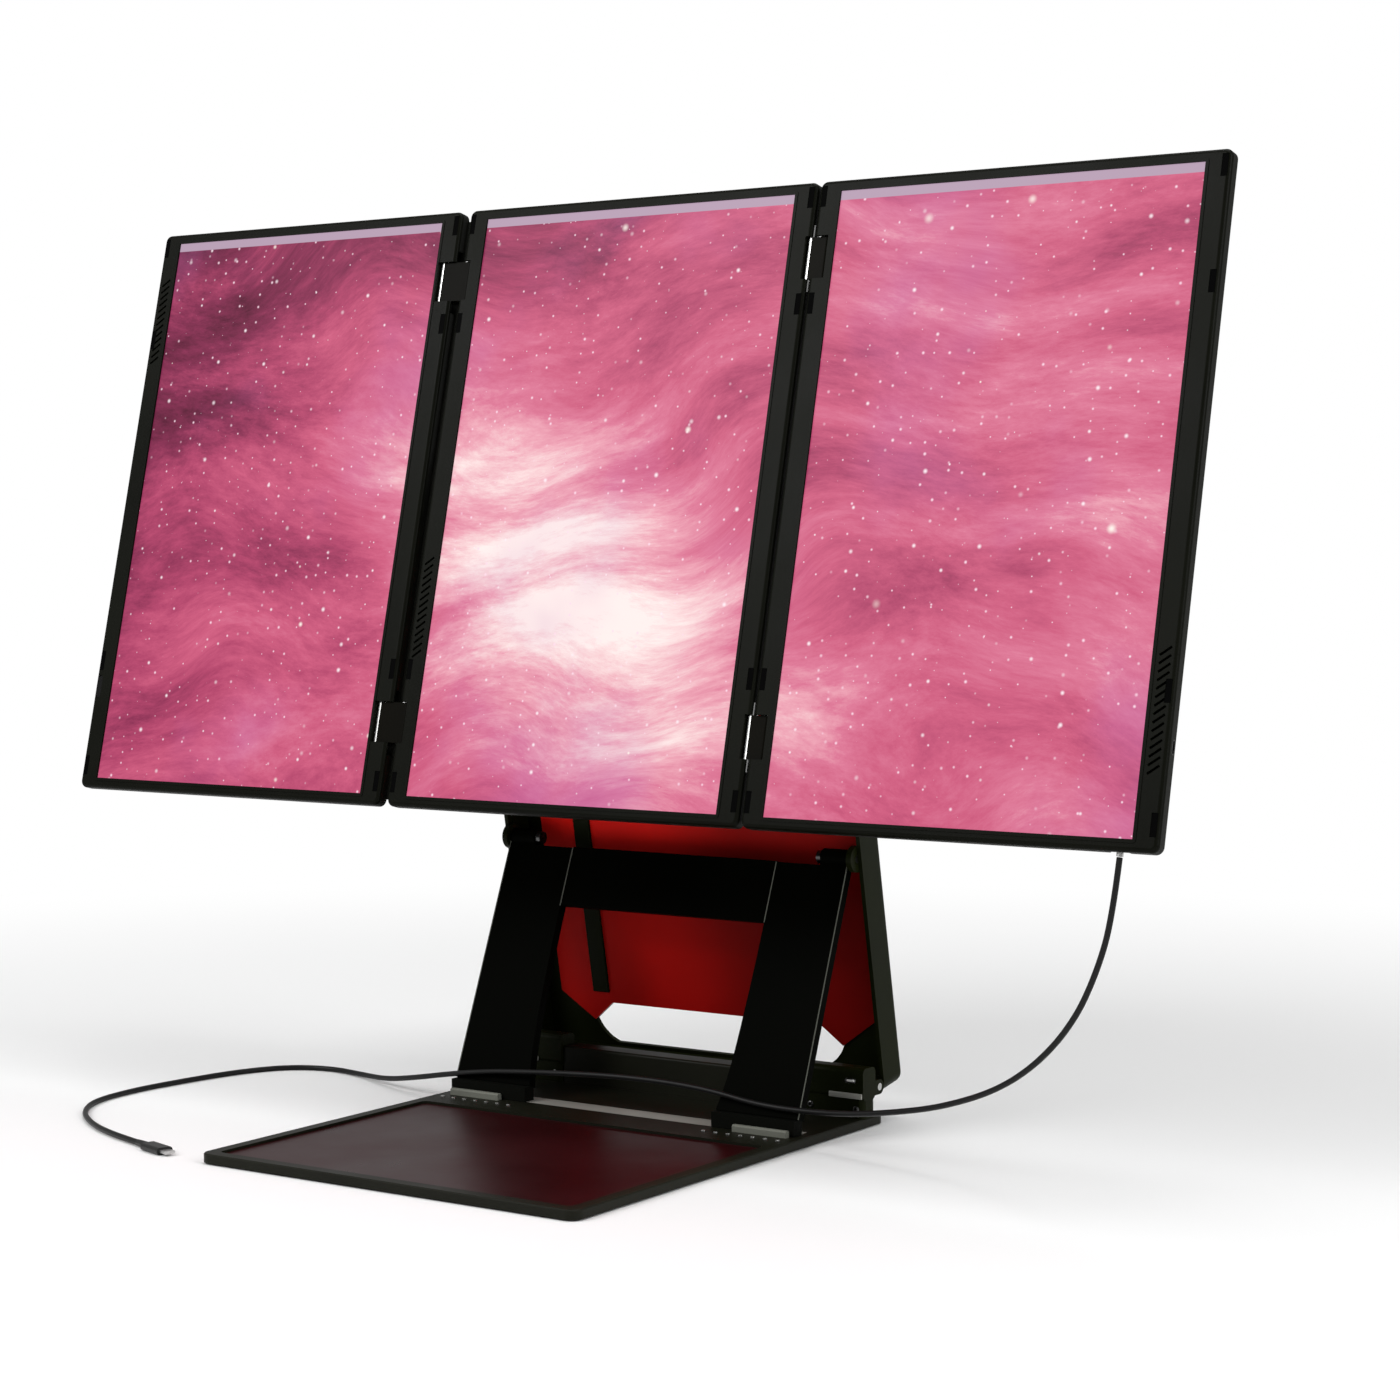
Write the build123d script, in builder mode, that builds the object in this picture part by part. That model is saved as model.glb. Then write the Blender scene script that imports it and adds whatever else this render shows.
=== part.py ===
from build123d import *
import os
from math import atan2, cos, degrees, hypot, pi, radians, sin

# Laptop screen extender: three portrait screens on a folding stand.
# Millimetres, +Z up, the user on the -Y side. The origin is the centre of the
# underside of the base's rubber strips.

os.makedirs("parts", exist_ok=True)

# ---------------------------------------------------------------- screen panels
ACTIVE_W = 255.0  # lit area of a 19 inch 16:10 panel, stood upright
ACTIVE_H = 408.0
SIDE_BEZEL = 16.5
END_BEZEL = 7.5
PANEL_T = 10.0
PANEL_CORNER = 5.0
BEZEL_T = 3.0
FRONT_ROUND = 2.9
BACK_ROUND = 1.4
LIP_H = 0.4  # raised rim round the lit area
LIP_W = 2.2
BEZEL_LEDGE = 1.0  # bezel thickness left over the glass
SCREEN_OVERLAP = 1.0  # glass tucked under the bezel
SCREEN_T = 1.0
MODULE_T = 2.6
MODULE_CORNER = 1.5
COVER_FLOOR = 1.5
COVER_WALL = 2.0
CHANNEL_W = 10.3  # hollow along each long side of the cover
FIT = 0.2
TILT_REST = 13.5  # panels leaning back, degrees from upright
FACE_Y = 53.6  # centre of the middle panel's front face
FACE_Z = 420.9

# ------------------------------------------------------------------- side hinges
RIGHT_GAP = 2.0
LEFT_GAP = 7.5
FOLD_GAP = 1.2  # air between two folded panels
LINK_R = 2.8
LINK_H = 28.0
LINK_CLEAR = 0.3
UPPER_LINK_DROP = 51.0  # link centres, from the panel's top edge
LOWER_LINK_DROP = 365.0
LEFT_AXIS_INSET = 3.2
FOLD_SIDE_CLEAR = 0.5
KNUCKLE_R = 2.5
KNUCKLE_H = 8.0
KNUCKLE_FOOT = 5.5
PIN_R = 1.2
PIN_CLEAR = 0.05

# ----------------------------------------------------- details of the panels
PAD_L = 14.0
PAD_W = 4.0
PAD_DEPTH = 0.8
PAD_INSET = 4.0  # pad's centre line, from the panel's long edge
PAD_DROPS = (10.5, 82.0, 328.0, 406.5)
VENT_PITCH = 5.0
VENT_W = 1.6
VENT_L = 9.0
VENT_SLANT = 35.0
VENT_INSET = 8.2
BUTTON_L = 16.4
BUTTON_W = 5.0
BUTTON_TRAVEL = 0.6
BUTTON_CLEAR = 0.3
BUTTON_FLANGE = 3.0
BUTTON_FLANGE_T = 1.0
LEFT_BUTTON_DROP = 347.5
LEFT_BUTTON_INSET = 3.9
BACK_BUTTON_DROP = 300.0
BOARD_W = 90.0
BOARD_H = 50.0
BOARD_T = 1.2
BOARD_X = 78.0
CHIP_T = 1.2
MAIN_CHIP = 16.0
SMALL_CHIP = 6.0
CHIP_PITCH = 12.0
PORT_W = 8.9
PORT_T = 3.2
PORT_WALL = 0.4
PORT_L = 9.0
PORT_BACK_T = 0.8
PORT_CLEAR = 0.1
DATA_PORT_X = 117.0
DATA_PORT_DEPTH = 7.4  # port's centre, behind the front face
BAY_W = 14.0
BAY_H = 34.0
BAY_WALL = 1.5
POWER_PORT_DROP = 360.0
POWER_PORT_DEPTH = 6.5

# -------------------------------------------------------------------------- base
BASE_W = 300.0
BASE_L = 350.0
BASE_T = 6.0
BASE_CORNER = 8.0
SMALL_EDGE = 0.8  # chamfer on the base and other flat metal parts
STRIP_T = 1.0
STRIP_L = 250.0
STRIP_W = 12.0
STRIP_SPREAD = 155.0
RECESS_DEPTH = 3.0
RECESS_MARGIN = 9.0
RECESS_BACK_Y = 39.0
LINER_T = 1.2
FOOT_PLATE_FRONT_Y = 73.0  # light strip let into the base behind the feet
FOOT_PLATE_BACK_Y = 91.0
FOOT_PLATE_T = 1.5
RISER_FRONT_Y = 148.0
RISER_BACK_Y = 166.0
RISER_TOP_Z = 33.0
RISER_W = 204.0
RISER_WALL = 3.0
RISER_ROUND = 2.0
BOX_W = 47.0
BOX_BOTTOM_Z = 19.0
BOX_TOP_Z = 41.0
BOX_FRONT_Y = 146.0
BOX_BACK_Y = 162.0
BOX_ROUND = 4.0
BOX_FOOT_OVERLAP = 2.0
MAIN_AXIS_Y = 167.8
MAIN_AXIS_Z = 26.0
MAIN_BARREL_R = 5.0
MAIN_PIN_R = 2.5
MAIN_BARREL_L = 15.0
BARREL_GAP = 0.4
BASE_PORT_X = 140.0
BASE_PORT_Z = 32.5

# -------------------------------------------------------------------- back shell
SHELL_LEAN = 10.5  # shell leaning towards the user, degrees
SHELL_W = 300.0
SHELL_H = 423.0
SHELL_D = 26.0
SHELL_WALL = 3.0
SHELL_CORNER = 8.0
SHELL_BACK_ROUND = 5.0
SHELL_Y = 174.8  # lower front edge
SHELL_Z = 20.5
OPENING_BOTTOM = 5.5
OPENING_TOP = 36.0
OPENING_HALF = 89.0
OPENING_TIP = 106.0
OPENING_TIP_UP = 22.0
OPENING_ARC = 30.0
LUG_REACH = 6.0  # main hinge lug's end, behind the shell's lower front edge
LUG_UP = 2.5
RED_T = 1.5
RED_TOP = 372.0
RED_MARGIN = 13.0  # liner's edge to the side wall
RED_CORNER_UP = 42.0  # where its lower edge meets the sides
COVER_STRIP_X = -97.0
COVER_STRIP_W = 14.0
COVER_STRIP_T = 2.0
COVER_STRIP_INSET = 8.0
COVER_STRIP_EDGE = 0.6
RIB_T = 1.5
RIB_START = 34.0
RIB_DEPTH = 6.0
BEAM_BOTTOM = 388.0
BEAM_TOP = 415.0
BEAM_FRONT = 3.0
BEAM_T = 12.0
BEAM_WALL = 3.0
BEAM_POCKETS = 3
BEAM_POCKET_W = 88.0
BEAM_ARM_SINK = 1.0  # hinge arms run this far into the beam

# -------------------------------------------------------------------- tilt hinge
TILT_BEHIND = 9.0  # tilt axis behind the middle panel's back
TILT_BARREL_R = 6.0
TILT_PIN_R = 3.0
TILT_BARREL_L = 26.0
TILT_OUTER_X = 76.0
TILT_PLATE_W = 98.0
TILT_PLATE_H = 64.0
TILT_PLATE_T = 3.0
TILT_PLATE_CORNER = 4.0
BRACKET_SCREW_R = 3.2
BRACKET_SCREW_H = 1.6
BRACKET_SCREW_INSET = 7.5

# --------------------------------------------------------------------- leg frame
LEG_PIVOT_UP = 164.5  # along the shell, from its lower edge
LEG_FOOT_Y = 76.0
LEG_T = 7.0
LEG_BARREL_R = 6.0
LEG_PIN_R = 3.0
LEG_BARREL_L = 21.0
LEG_SHOULDER = 6.5  # plate's top edge beside the barrel, below the pivot
LEG_KNOB_R = 4.5
LEG_KNOB_L = 4.0
EAR_R = 9.0
EAR_T = 4.0
LEG_TOP_IN = 86.0
LEG_TOP_OUT = 142.0
LEG_FOOT_IN = 78.0
LEG_FOOT_OUT = 143.0
LEG_WAIST_IN = 84.5
LEG_WAIST_UP = 62.0
CROSSBAR_TOP = 5.5  # below the pivot, along the leg
CROSSBAR_H = 43.0
CROSSBAR_T = 6.0
SHOE_H = 10.0
SHOE_T = 10.0
FOOT_CLEAR = 0.3
RAIL_IN = 98.0
RAIL_OUT = 140.0
RAIL_Y = 68.0
RAIL_D = 4.4
RAIL_H = 4.6
RAIL_EDGE = 1.0
DOT_COUNT = 7
DOT_R = 1.6
DOT_H = 0.8
DOT_EDGE = 0.3
DOT_Y = 57.0
DOT_PITCH = 9.7

# --------------------------------------------------------------------- data cable
CABLE_D = 3.8
CABLE_GAP = 0.7
PLUG_L = 22.0
PLUG_W = 11.5
PLUG_T = 5.0
PLUG_ROUND = 2.2
RELIEF_WALL = 0.55
RELIEF_L = 14.0
TONGUE_L = 6.5
TONGUE_W = 8.0
TONGUE_T = 2.2

# ------------------------------------------------------------------ derived sizes
PANEL_W = ACTIVE_W + 2 * SIDE_BEZEL
PANEL_H = ACTIVE_H + 2 * END_BEZEL
HALF_W = PANEL_W / 2
HALF_H = PANEL_H / 2
SCREEN_W = ACTIVE_W + 2 * SCREEN_OVERLAP
SCREEN_H = ACTIVE_H + 2 * SCREEN_OVERLAP
FLOOR_DEPTH = PANEL_T - COVER_FLOOR
MODULE_BACK = BEZEL_LEDGE + SCREEN_T + MODULE_T
HINGE_DEPTH = PANEL_T / 2
RIGHT_LINK_L = PANEL_T + FOLD_GAP
LEFT_LINK_L = 2 * RIGHT_LINK_L
# The right panel folds first; shifting its axes keeps its far edge clear of the
# left links, and the longer left links then fold the left panel over it.
FOLD_SHIFT = LEFT_AXIS_INSET + LINK_R + FOLD_SIDE_CLEAR
RIGHT_AXIS_INSET = (RIGHT_LINK_L - RIGHT_GAP - FOLD_SHIFT) / 2
RIGHT_PANEL_INSET = RIGHT_LINK_L - RIGHT_GAP - RIGHT_AXIS_INSET
LEFT_PANEL_INSET = LEFT_LINK_L - LEFT_GAP - LEFT_AXIS_INSET
RIGHT_X = PANEL_W + RIGHT_GAP
LEFT_X = -(PANEL_W + LEFT_GAP)
LINK_ROWS = (HALF_H - UPPER_LINK_DROP, HALF_H - LOWER_LINK_DROP)
BASE_BOTTOM_Z = STRIP_T
BASE_TOP_Z = STRIP_T + BASE_T
MAIN_TILT = radians(TILT_REST)
UP = (0, sin(MAIN_TILT), cos(MAIN_TILT))
FRONT = (0, -cos(MAIN_TILT), sin(MAIN_TILT))
LEAN = radians(SHELL_LEAN)
SHELL_UP = (0, -sin(LEAN), cos(LEAN))
SHELL_FRONT = (0, -cos(LEAN), -sin(LEAN))
TILT_Y = FACE_Y - FRONT[1] * (PANEL_T + TILT_BEHIND)
TILT_Z = FACE_Z - FRONT[2] * (PANEL_T + TILT_BEHIND)
PIVOT_Y = SHELL_Y + SHELL_UP[1] * LEG_PIVOT_UP
PIVOT_Z = SHELL_Z + SHELL_UP[2] * LEG_PIVOT_UP
FOOT_Z = BASE_TOP_Z + FOOT_CLEAR
LEG_L = hypot(PIVOT_Y - LEG_FOOT_Y, PIVOT_Z - FOOT_Z)
LEG_ANGLE = atan2(PIVOT_Y - LEG_FOOT_Y, PIVOT_Z - FOOT_Z)


# ------------------------------------------------------------------------- planes
def panel_plane(centre_x, depth=0.0):
    """Plane of a panel's front face, or one that lies depth behind it."""
    face = Plane(origin=(centre_x, FACE_Y, FACE_Z), x_dir=(1, 0, 0), z_dir=FRONT)
    return face.offset(-depth)


def panel_section(centre_x, up):
    """Plane across a panel, up from its middle: x along the width, y towards the back."""
    origin = panel_plane(centre_x).from_local_coords((0, up, 0))
    return Plane(origin=origin, x_dir=(1, 0, 0), z_dir=UP)


def shell_plane(depth=0.0):
    """Plane of the shell's open front, or one that lies depth behind it."""
    face = Plane(origin=(0, SHELL_Y, SHELL_Z), x_dir=(1, 0, 0), z_dir=SHELL_FRONT)
    return face.offset(-depth)


def leg_plane(depth=0.0):
    """Middle plane of the leg frame: y runs up each leg to the pivot."""
    front = (0, -cos(LEG_ANGLE), sin(LEG_ANGLE))
    middle = Plane(origin=(0, PIVOT_Y, PIVOT_Z), x_dir=(1, 0, 0), z_dir=front)
    return middle.offset(-depth)


def across(x):
    """Upright plane across the object at x: local x is +Y and local y is +Z."""
    return Plane(origin=(x, 0, 0), x_dir=(0, 1, 0), z_dir=(1, 0, 0))


def plane_axis(plane):
    """Axis along a plane's normal, for sorting faces."""
    return Axis(plane.origin, plane.z_dir)


# --------------------------------------------------------------------------- base
with BuildPart() as base_plate:
    with BuildSketch(Plane.XY.offset(BASE_BOTTOM_Z)):
        RectangleRounded(BASE_W, BASE_L, BASE_CORNER)
    extrude(amount=BASE_T)
    chamfer(base_plate.faces().sort_by(Axis.Z)[-1].edges(), SMALL_EDGE)
    recess_length = RECESS_BACK_Y + BASE_L / 2 - RECESS_MARGIN
    with BuildSketch(Plane.XY.offset(BASE_TOP_Z - RECESS_DEPTH)):
        with Locations((0, RECESS_BACK_Y - recess_length / 2)):
            RectangleRounded(BASE_W - 2 * RECESS_MARGIN, recess_length, BASE_CORNER / 2)
    extrude(amount=RECESS_DEPTH, mode=Mode.SUBTRACT)
    foot_plate_y = (FOOT_PLATE_FRONT_Y + FOOT_PLATE_BACK_Y) / 2
    foot_plate_w = BASE_W - 2 * RECESS_MARGIN
    with BuildSketch(Plane.XY.offset(BASE_TOP_Z - FOOT_PLATE_T)):
        with Locations((0, foot_plate_y)):
            Rectangle(foot_plate_w, FOOT_PLATE_BACK_Y - FOOT_PLATE_FRONT_Y)
    extrude(amount=FOOT_PLATE_T, mode=Mode.SUBTRACT)
base_plate.part.label = "base_plate"
export_step(base_plate.part, "parts/base_plate.step")

with BuildPart() as base_liner:
    with BuildSketch(Plane.XY.offset(BASE_TOP_Z - RECESS_DEPTH)):
        with Locations((0, RECESS_BACK_Y - recess_length / 2)):
            RectangleRounded(
                BASE_W - 2 * (RECESS_MARGIN + FIT),
                recess_length - 2 * FIT,
                BASE_CORNER / 2 - FIT,
            )
    extrude(amount=LINER_T)
base_liner.part.label = "base_liner"
export_step(base_liner.part, "parts/base_liner.step")

with BuildPart() as foot_plate:
    with BuildSketch(Plane.XY.offset(BASE_TOP_Z - FOOT_PLATE_T)):
        with Locations((0, foot_plate_y)):
            Rectangle(
                foot_plate_w - 2 * FIT, FOOT_PLATE_BACK_Y - FOOT_PLATE_FRONT_Y - 2 * FIT
            )
    extrude(amount=FOOT_PLATE_T)
foot_plate.part.label = "foot_plate"
export_step(foot_plate.part, "parts/foot_plate.step")

with BuildPart() as base_rubber_strips:
    with BuildSketch():
        with GridLocations(0, STRIP_SPREAD, 1, 3):
            SlotOverall(STRIP_L, STRIP_W)
    extrude(amount=STRIP_T)
base_rubber_strips.part.label = "base_rubber_strips"
export_step(base_rubber_strips.part, "parts/base_rubber_strips.step")

with BuildPart() as rear_riser:
    with BuildSketch(Plane.XY.offset(BASE_TOP_Z)):
        with Locations((0, (RISER_FRONT_Y + RISER_BACK_Y) / 2)):
            Rectangle(RISER_W, RISER_BACK_Y - RISER_FRONT_Y)
    extrude(amount=RISER_TOP_Z - BASE_TOP_Z)
    fillet(rear_riser.edges().filter_by(Axis.X).group_by(Axis.Z)[-1], RISER_ROUND)
    with BuildSketch(Plane.XY.offset(BASE_TOP_Z)):
        with Locations((0, (RISER_FRONT_Y + RISER_BACK_Y) / 2)):
            with GridLocations(RISER_W / 2, 0, 2, 1):
                Rectangle(
                    RISER_W / 2 - 2 * RISER_WALL, RISER_BACK_Y - RISER_FRONT_Y - 2 * RISER_WALL
                )
    extrude(amount=RISER_TOP_Z - BASE_TOP_Z - RISER_WALL, mode=Mode.SUBTRACT)
rear_riser.part.label = "rear_riser"
export_step(rear_riser.part, "parts/rear_riser.step")

box_middle_x = BASE_W / 2 - BOX_W / 2
base_barrel_x = BASE_W / 2 - MAIN_BARREL_L / 2
shell_barrel_x = base_barrel_x - MAIN_BARREL_L - BARREL_GAP


def main_knuckle(x):
    """Barrel of the main hinge with the arm that joins it to its hinge box."""
    with BuildSketch(across(x - MAIN_BARREL_L / 2)) as profile:
        with Locations((MAIN_AXIS_Y, MAIN_AXIS_Z)):
            Circle(MAIN_BARREL_R)
        with Locations((MAIN_AXIS_Y, MAIN_AXIS_Z)):
            Rectangle(
                MAIN_AXIS_Y - BOX_BACK_Y + BOX_ROUND, 2 * MAIN_BARREL_R,
                align=(Align.MAX, Align.CENTER),
            )
        with Locations((MAIN_AXIS_Y, MAIN_AXIS_Z)):
            Circle(MAIN_PIN_R + PIN_CLEAR, mode=Mode.SUBTRACT)
    extrude(profile.sketch, amount=MAIN_BARREL_L)


for side, sign in (("left", -1), ("right", 1)):
    with BuildPart() as hinge_box:
        with BuildSketch(across(sign * box_middle_x - BOX_W / 2)):
            with Locations(((BOX_FRONT_Y + BOX_BACK_Y) / 2, (BOX_BOTTOM_Z + BOX_TOP_Z) / 2)):
                RectangleRounded(BOX_BACK_Y - BOX_FRONT_Y, BOX_TOP_Z - BOX_BOTTOM_Z, BOX_ROUND)
        extrude(amount=BOX_W)
        # foot plate under the box, screwed to the base
        with BuildSketch(Plane.XY.offset(BASE_TOP_Z)):
            with Locations((sign * box_middle_x, (BOX_FRONT_Y + BOX_BACK_Y) / 2)):
                RectangleRounded(BOX_W, BOX_BACK_Y - BOX_FRONT_Y, BOX_ROUND)
        extrude(amount=BOX_BOTTOM_Z + BOX_FOOT_OVERLAP - BASE_TOP_Z)
        main_knuckle(sign * base_barrel_x)
        if side == "right":
            with BuildSketch(Plane.XZ.offset(-BOX_FRONT_Y)):
                with Locations((BASE_PORT_X, BASE_PORT_Z)):
                    SlotOverall(PORT_W + 2 * PORT_CLEAR, PORT_T + 2 * PORT_CLEAR)
            extrude(amount=-PORT_L, mode=Mode.SUBTRACT)
    hinge_box.part.label = f"hinge_box_{side}"
    export_step(hinge_box.part, f"parts/hinge_box_{side}.step")


def port_shell(plane):
    """USB-C socket whose mouth lies on the plane, facing its normal."""
    with BuildSketch(plane) as tube:
        SlotOverall(PORT_W, PORT_T)
        SlotOverall(PORT_W - 2 * PORT_WALL, PORT_T - 2 * PORT_WALL, mode=Mode.SUBTRACT)
    extrude(tube.sketch, amount=-PORT_L)
    with BuildSketch(plane.offset(-PORT_L)) as back:
        SlotOverall(PORT_W - PORT_WALL, PORT_T - PORT_WALL)
    extrude(back.sketch, amount=PORT_BACK_T)


with BuildPart() as hinge_box_port:
    box_port_plane = Plane(
        origin=(BASE_PORT_X, BOX_FRONT_Y, BASE_PORT_Z), x_dir=(1, 0, 0), z_dir=(0, -1, 0)
    )
    port_shell(box_port_plane)
hinge_box_port.part.label = "hinge_box_port"
export_step(hinge_box_port.part, "parts/hinge_box_port.step")

with BuildPart() as main_hinge_pins:
    pin_length = 2 * MAIN_BARREL_L + BARREL_GAP
    for sign in (-1, 1):
        inner = base_barrel_x + MAIN_BARREL_L / 2 - pin_length
        with BuildSketch(across(inner if sign > 0 else -inner - pin_length)):
            with Locations((MAIN_AXIS_Y, MAIN_AXIS_Z)):
                Circle(MAIN_PIN_R)
        extrude(amount=pin_length)
main_hinge_pins.part.label = "main_hinge_pins"
export_step(main_hinge_pins.part, "parts/main_hinge_pins.step")

# stop bars in front of the feet
with BuildPart() as foot_stops:
    for sign in (-1, 1):
        with BuildSketch(Plane.XY.offset(BASE_TOP_Z)):
            with Locations((sign * (RAIL_IN + RAIL_OUT) / 2, RAIL_Y)):
                Rectangle(RAIL_OUT - RAIL_IN, RAIL_D)
        extrude(amount=RAIL_H)
    chamfer(foot_stops.edges().filter_by(Axis.X).group_by(Axis.Z)[-1], RAIL_EDGE)
foot_stops.part.label = "foot_stops"
export_step(foot_stops.part, "parts/foot_stops.step")

with BuildPart() as stop_rivets:
    with Locations(Plane.XY.offset(BASE_TOP_Z)):
        for sign in (-1, 1):
            with Locations((sign * (LEG_FOOT_IN + LEG_FOOT_OUT) / 2, DOT_Y)):
                with GridLocations(DOT_PITCH, 0, DOT_COUNT, 1):
                    Cylinder(DOT_R, DOT_H, align=(Align.CENTER, Align.CENTER, Align.MIN))
    chamfer(stop_rivets.edges().group_by(Axis.Z)[-1], DOT_EDGE)
stop_rivets.part.label = "stop_rivets"
export_step(stop_rivets.part, "parts/stop_rivets.step")

# --------------------------------------------------------------------- back shell
shell_axis = plane_axis(shell_plane())


def opening_outline():
    """Outline of the low opening through the shell's back."""
    with BuildLine() as outline:
        Polyline(
            (-OPENING_TIP, OPENING_TIP_UP),
            (-OPENING_HALF, OPENING_TOP),
            (OPENING_HALF, OPENING_TOP),
            (OPENING_TIP, OPENING_TIP_UP),
        )
        RadiusArc((OPENING_TIP, OPENING_TIP_UP), (OPENING_HALF, OPENING_BOTTOM), OPENING_ARC)
        Line((OPENING_HALF, OPENING_BOTTOM), (-OPENING_HALF, OPENING_BOTTOM))
        RadiusArc((-OPENING_HALF, OPENING_BOTTOM), (-OPENING_TIP, OPENING_TIP_UP), OPENING_ARC)
    make_face(outline.line.edges())


with BuildPart() as shell_tray:
    with BuildSketch(shell_plane(SHELL_D)):
        with Locations((0, SHELL_H / 2)):
            RectangleRounded(SHELL_W, SHELL_H, SHELL_CORNER)
    extrude(amount=SHELL_D)
    fillet(shell_tray.faces().sort_by(shell_axis)[0].edges(), SHELL_BACK_ROUND)
    with BuildSketch(shell_plane(SHELL_D - SHELL_WALL)):
        with Locations((0, SHELL_H / 2)):
            RectangleRounded(
                SHELL_W - 2 * SHELL_WALL, SHELL_H - 2 * SHELL_WALL, SHELL_CORNER - SHELL_WALL
            )
    extrude(amount=SHELL_D, mode=Mode.SUBTRACT)
    with BuildSketch(shell_plane(SHELL_D)):
        opening_outline()
    extrude(amount=SHELL_WALL, mode=Mode.SUBTRACT)
    # lugs for the main hinge, reaching forward from the lower wall
    for sign in (-1, 1):
        with BuildSketch(across(sign * shell_barrel_x - MAIN_BARREL_L / 2)):
            with Locations((MAIN_AXIS_Y, MAIN_AXIS_Z)):
                Circle(MAIN_BARREL_R)
            with BuildLine():
                Polyline(
                    (MAIN_AXIS_Y, MAIN_AXIS_Z + MAIN_BARREL_R),
                    (SHELL_Y + LUG_REACH, MAIN_AXIS_Z + MAIN_BARREL_R),
                    (SHELL_Y + LUG_REACH, SHELL_Z + LUG_UP),
                    (MAIN_AXIS_Y, MAIN_AXIS_Z - MAIN_BARREL_R),
                    close=True,
                )
            make_face()
            with Locations((MAIN_AXIS_Y, MAIN_AXIS_Z)):
                Circle(MAIN_PIN_R + PIN_CLEAR, mode=Mode.SUBTRACT)
        extrude(amount=MAIN_BARREL_L)
    # ears on the side walls for the leg frame's pivots
    for sign in (-1, 1):
        ear_start = SHELL_W / 2 - SHELL_WALL - EAR_T
        with BuildSketch(across(ear_start if sign > 0 else -ear_start - EAR_T)):
            with Locations((PIVOT_Y, PIVOT_Z)):
                Circle(EAR_R)
                Circle(LEG_PIN_R + PIN_CLEAR, mode=Mode.SUBTRACT)
        extrude(amount=EAR_T)
    # long ribs inside the side walls
    for sign in (-1, 1):
        rib_x = sign * (SHELL_W / 2 - SHELL_WALL - RIB_T / 2)
        with BuildSketch(shell_plane(RIB_DEPTH)):
            with Locations((rib_x, (RIB_START + BEAM_BOTTOM - RIB_T) / 2)):
                Rectangle(RIB_T, BEAM_BOTTOM - RIB_T - RIB_START)
        extrude(amount=RIB_T)
shell_tray.part.label = "shell_tray"
export_step(shell_tray.part, "parts/shell_tray.step")

liner_depth = SHELL_D - SHELL_WALL
liner_half = SHELL_W / 2 - SHELL_WALL - RED_MARGIN
with BuildPart() as red_liner:
    with BuildSketch(shell_plane(liner_depth)):
        with BuildLine():
            Polyline(
                (-liner_half, RED_CORNER_UP),
                (-OPENING_TIP, OPENING_TIP_UP),
                (-OPENING_HALF, OPENING_TOP),
                (OPENING_HALF, OPENING_TOP),
                (OPENING_TIP, OPENING_TIP_UP),
                (liner_half, RED_CORNER_UP),
                (liner_half, RED_TOP),
                (-liner_half, RED_TOP),
                close=True,
            )
        make_face()
    extrude(amount=RED_T)
red_liner.part.label = "red_liner"
export_step(red_liner.part, "parts/red_liner.step")

with BuildPart() as liner_cover_strip:
    with BuildSketch(shell_plane(liner_depth - RED_T)):
        with Locations((COVER_STRIP_X, (OPENING_TOP + RED_TOP) / 2)):
            Rectangle(COVER_STRIP_W, RED_TOP - OPENING_TOP - 2 * COVER_STRIP_INSET)
    extrude(amount=COVER_STRIP_T)
    chamfer(liner_cover_strip.faces().sort_by(shell_axis)[-1].edges(), COVER_STRIP_EDGE)
liner_cover_strip.part.label = "liner_cover_strip"
export_step(liner_cover_strip.part, "parts/liner_cover_strip.step")

# ------------------------------------------------- top beam and the tilt hinge
tilt_inner_x = TILT_OUTER_X - TILT_BARREL_L - BARREL_GAP
panel_barrel_x = tilt_inner_x - TILT_BARREL_L / 2
beam_barrel_x = TILT_OUTER_X - TILT_BARREL_L / 2

with BuildPart() as top_beam:
    with BuildSketch(shell_plane(BEAM_FRONT + BEAM_T)):
        with Locations((0, (BEAM_BOTTOM + BEAM_TOP) / 2)):
            Rectangle(SHELL_W - 2 * SHELL_WALL - 2 * FIT, BEAM_TOP - BEAM_BOTTOM)
    extrude(amount=BEAM_T)
    with BuildSketch(shell_plane(BEAM_FRONT + BEAM_T)):
        with Locations((0, (BEAM_BOTTOM + BEAM_TOP) / 2)):
            with GridLocations(BEAM_POCKET_W + 2 * BEAM_WALL, 0, BEAM_POCKETS, 1):
                Rectangle(BEAM_POCKET_W, BEAM_TOP - BEAM_BOTTOM - 2 * BEAM_WALL)
    extrude(amount=BEAM_T - BEAM_WALL, mode=Mode.SUBTRACT)
    for sign in (-1, 1):
        beam_arm = shell_plane().to_local_coords(Vector(0, TILT_Y, TILT_Z))
        with BuildSketch(across(sign * beam_barrel_x - TILT_BARREL_L / 2)):
            with Locations((TILT_Y, TILT_Z)):
                Circle(TILT_BARREL_R)
            with Locations(Location((TILT_Y, TILT_Z), SHELL_LEAN)):
                Rectangle(
                    beam_arm.Z + BEAM_FRONT + BEAM_ARM_SINK,
                    2 * TILT_BARREL_R,
                    align=(Align.MIN, Align.CENTER),
                )
            with Locations((TILT_Y, TILT_Z)):
                Circle(TILT_PIN_R + PIN_CLEAR, mode=Mode.SUBTRACT)
        extrude(amount=TILT_BARREL_L)
top_beam.part.label = "top_beam"
export_step(top_beam.part, "parts/top_beam.step")

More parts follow.
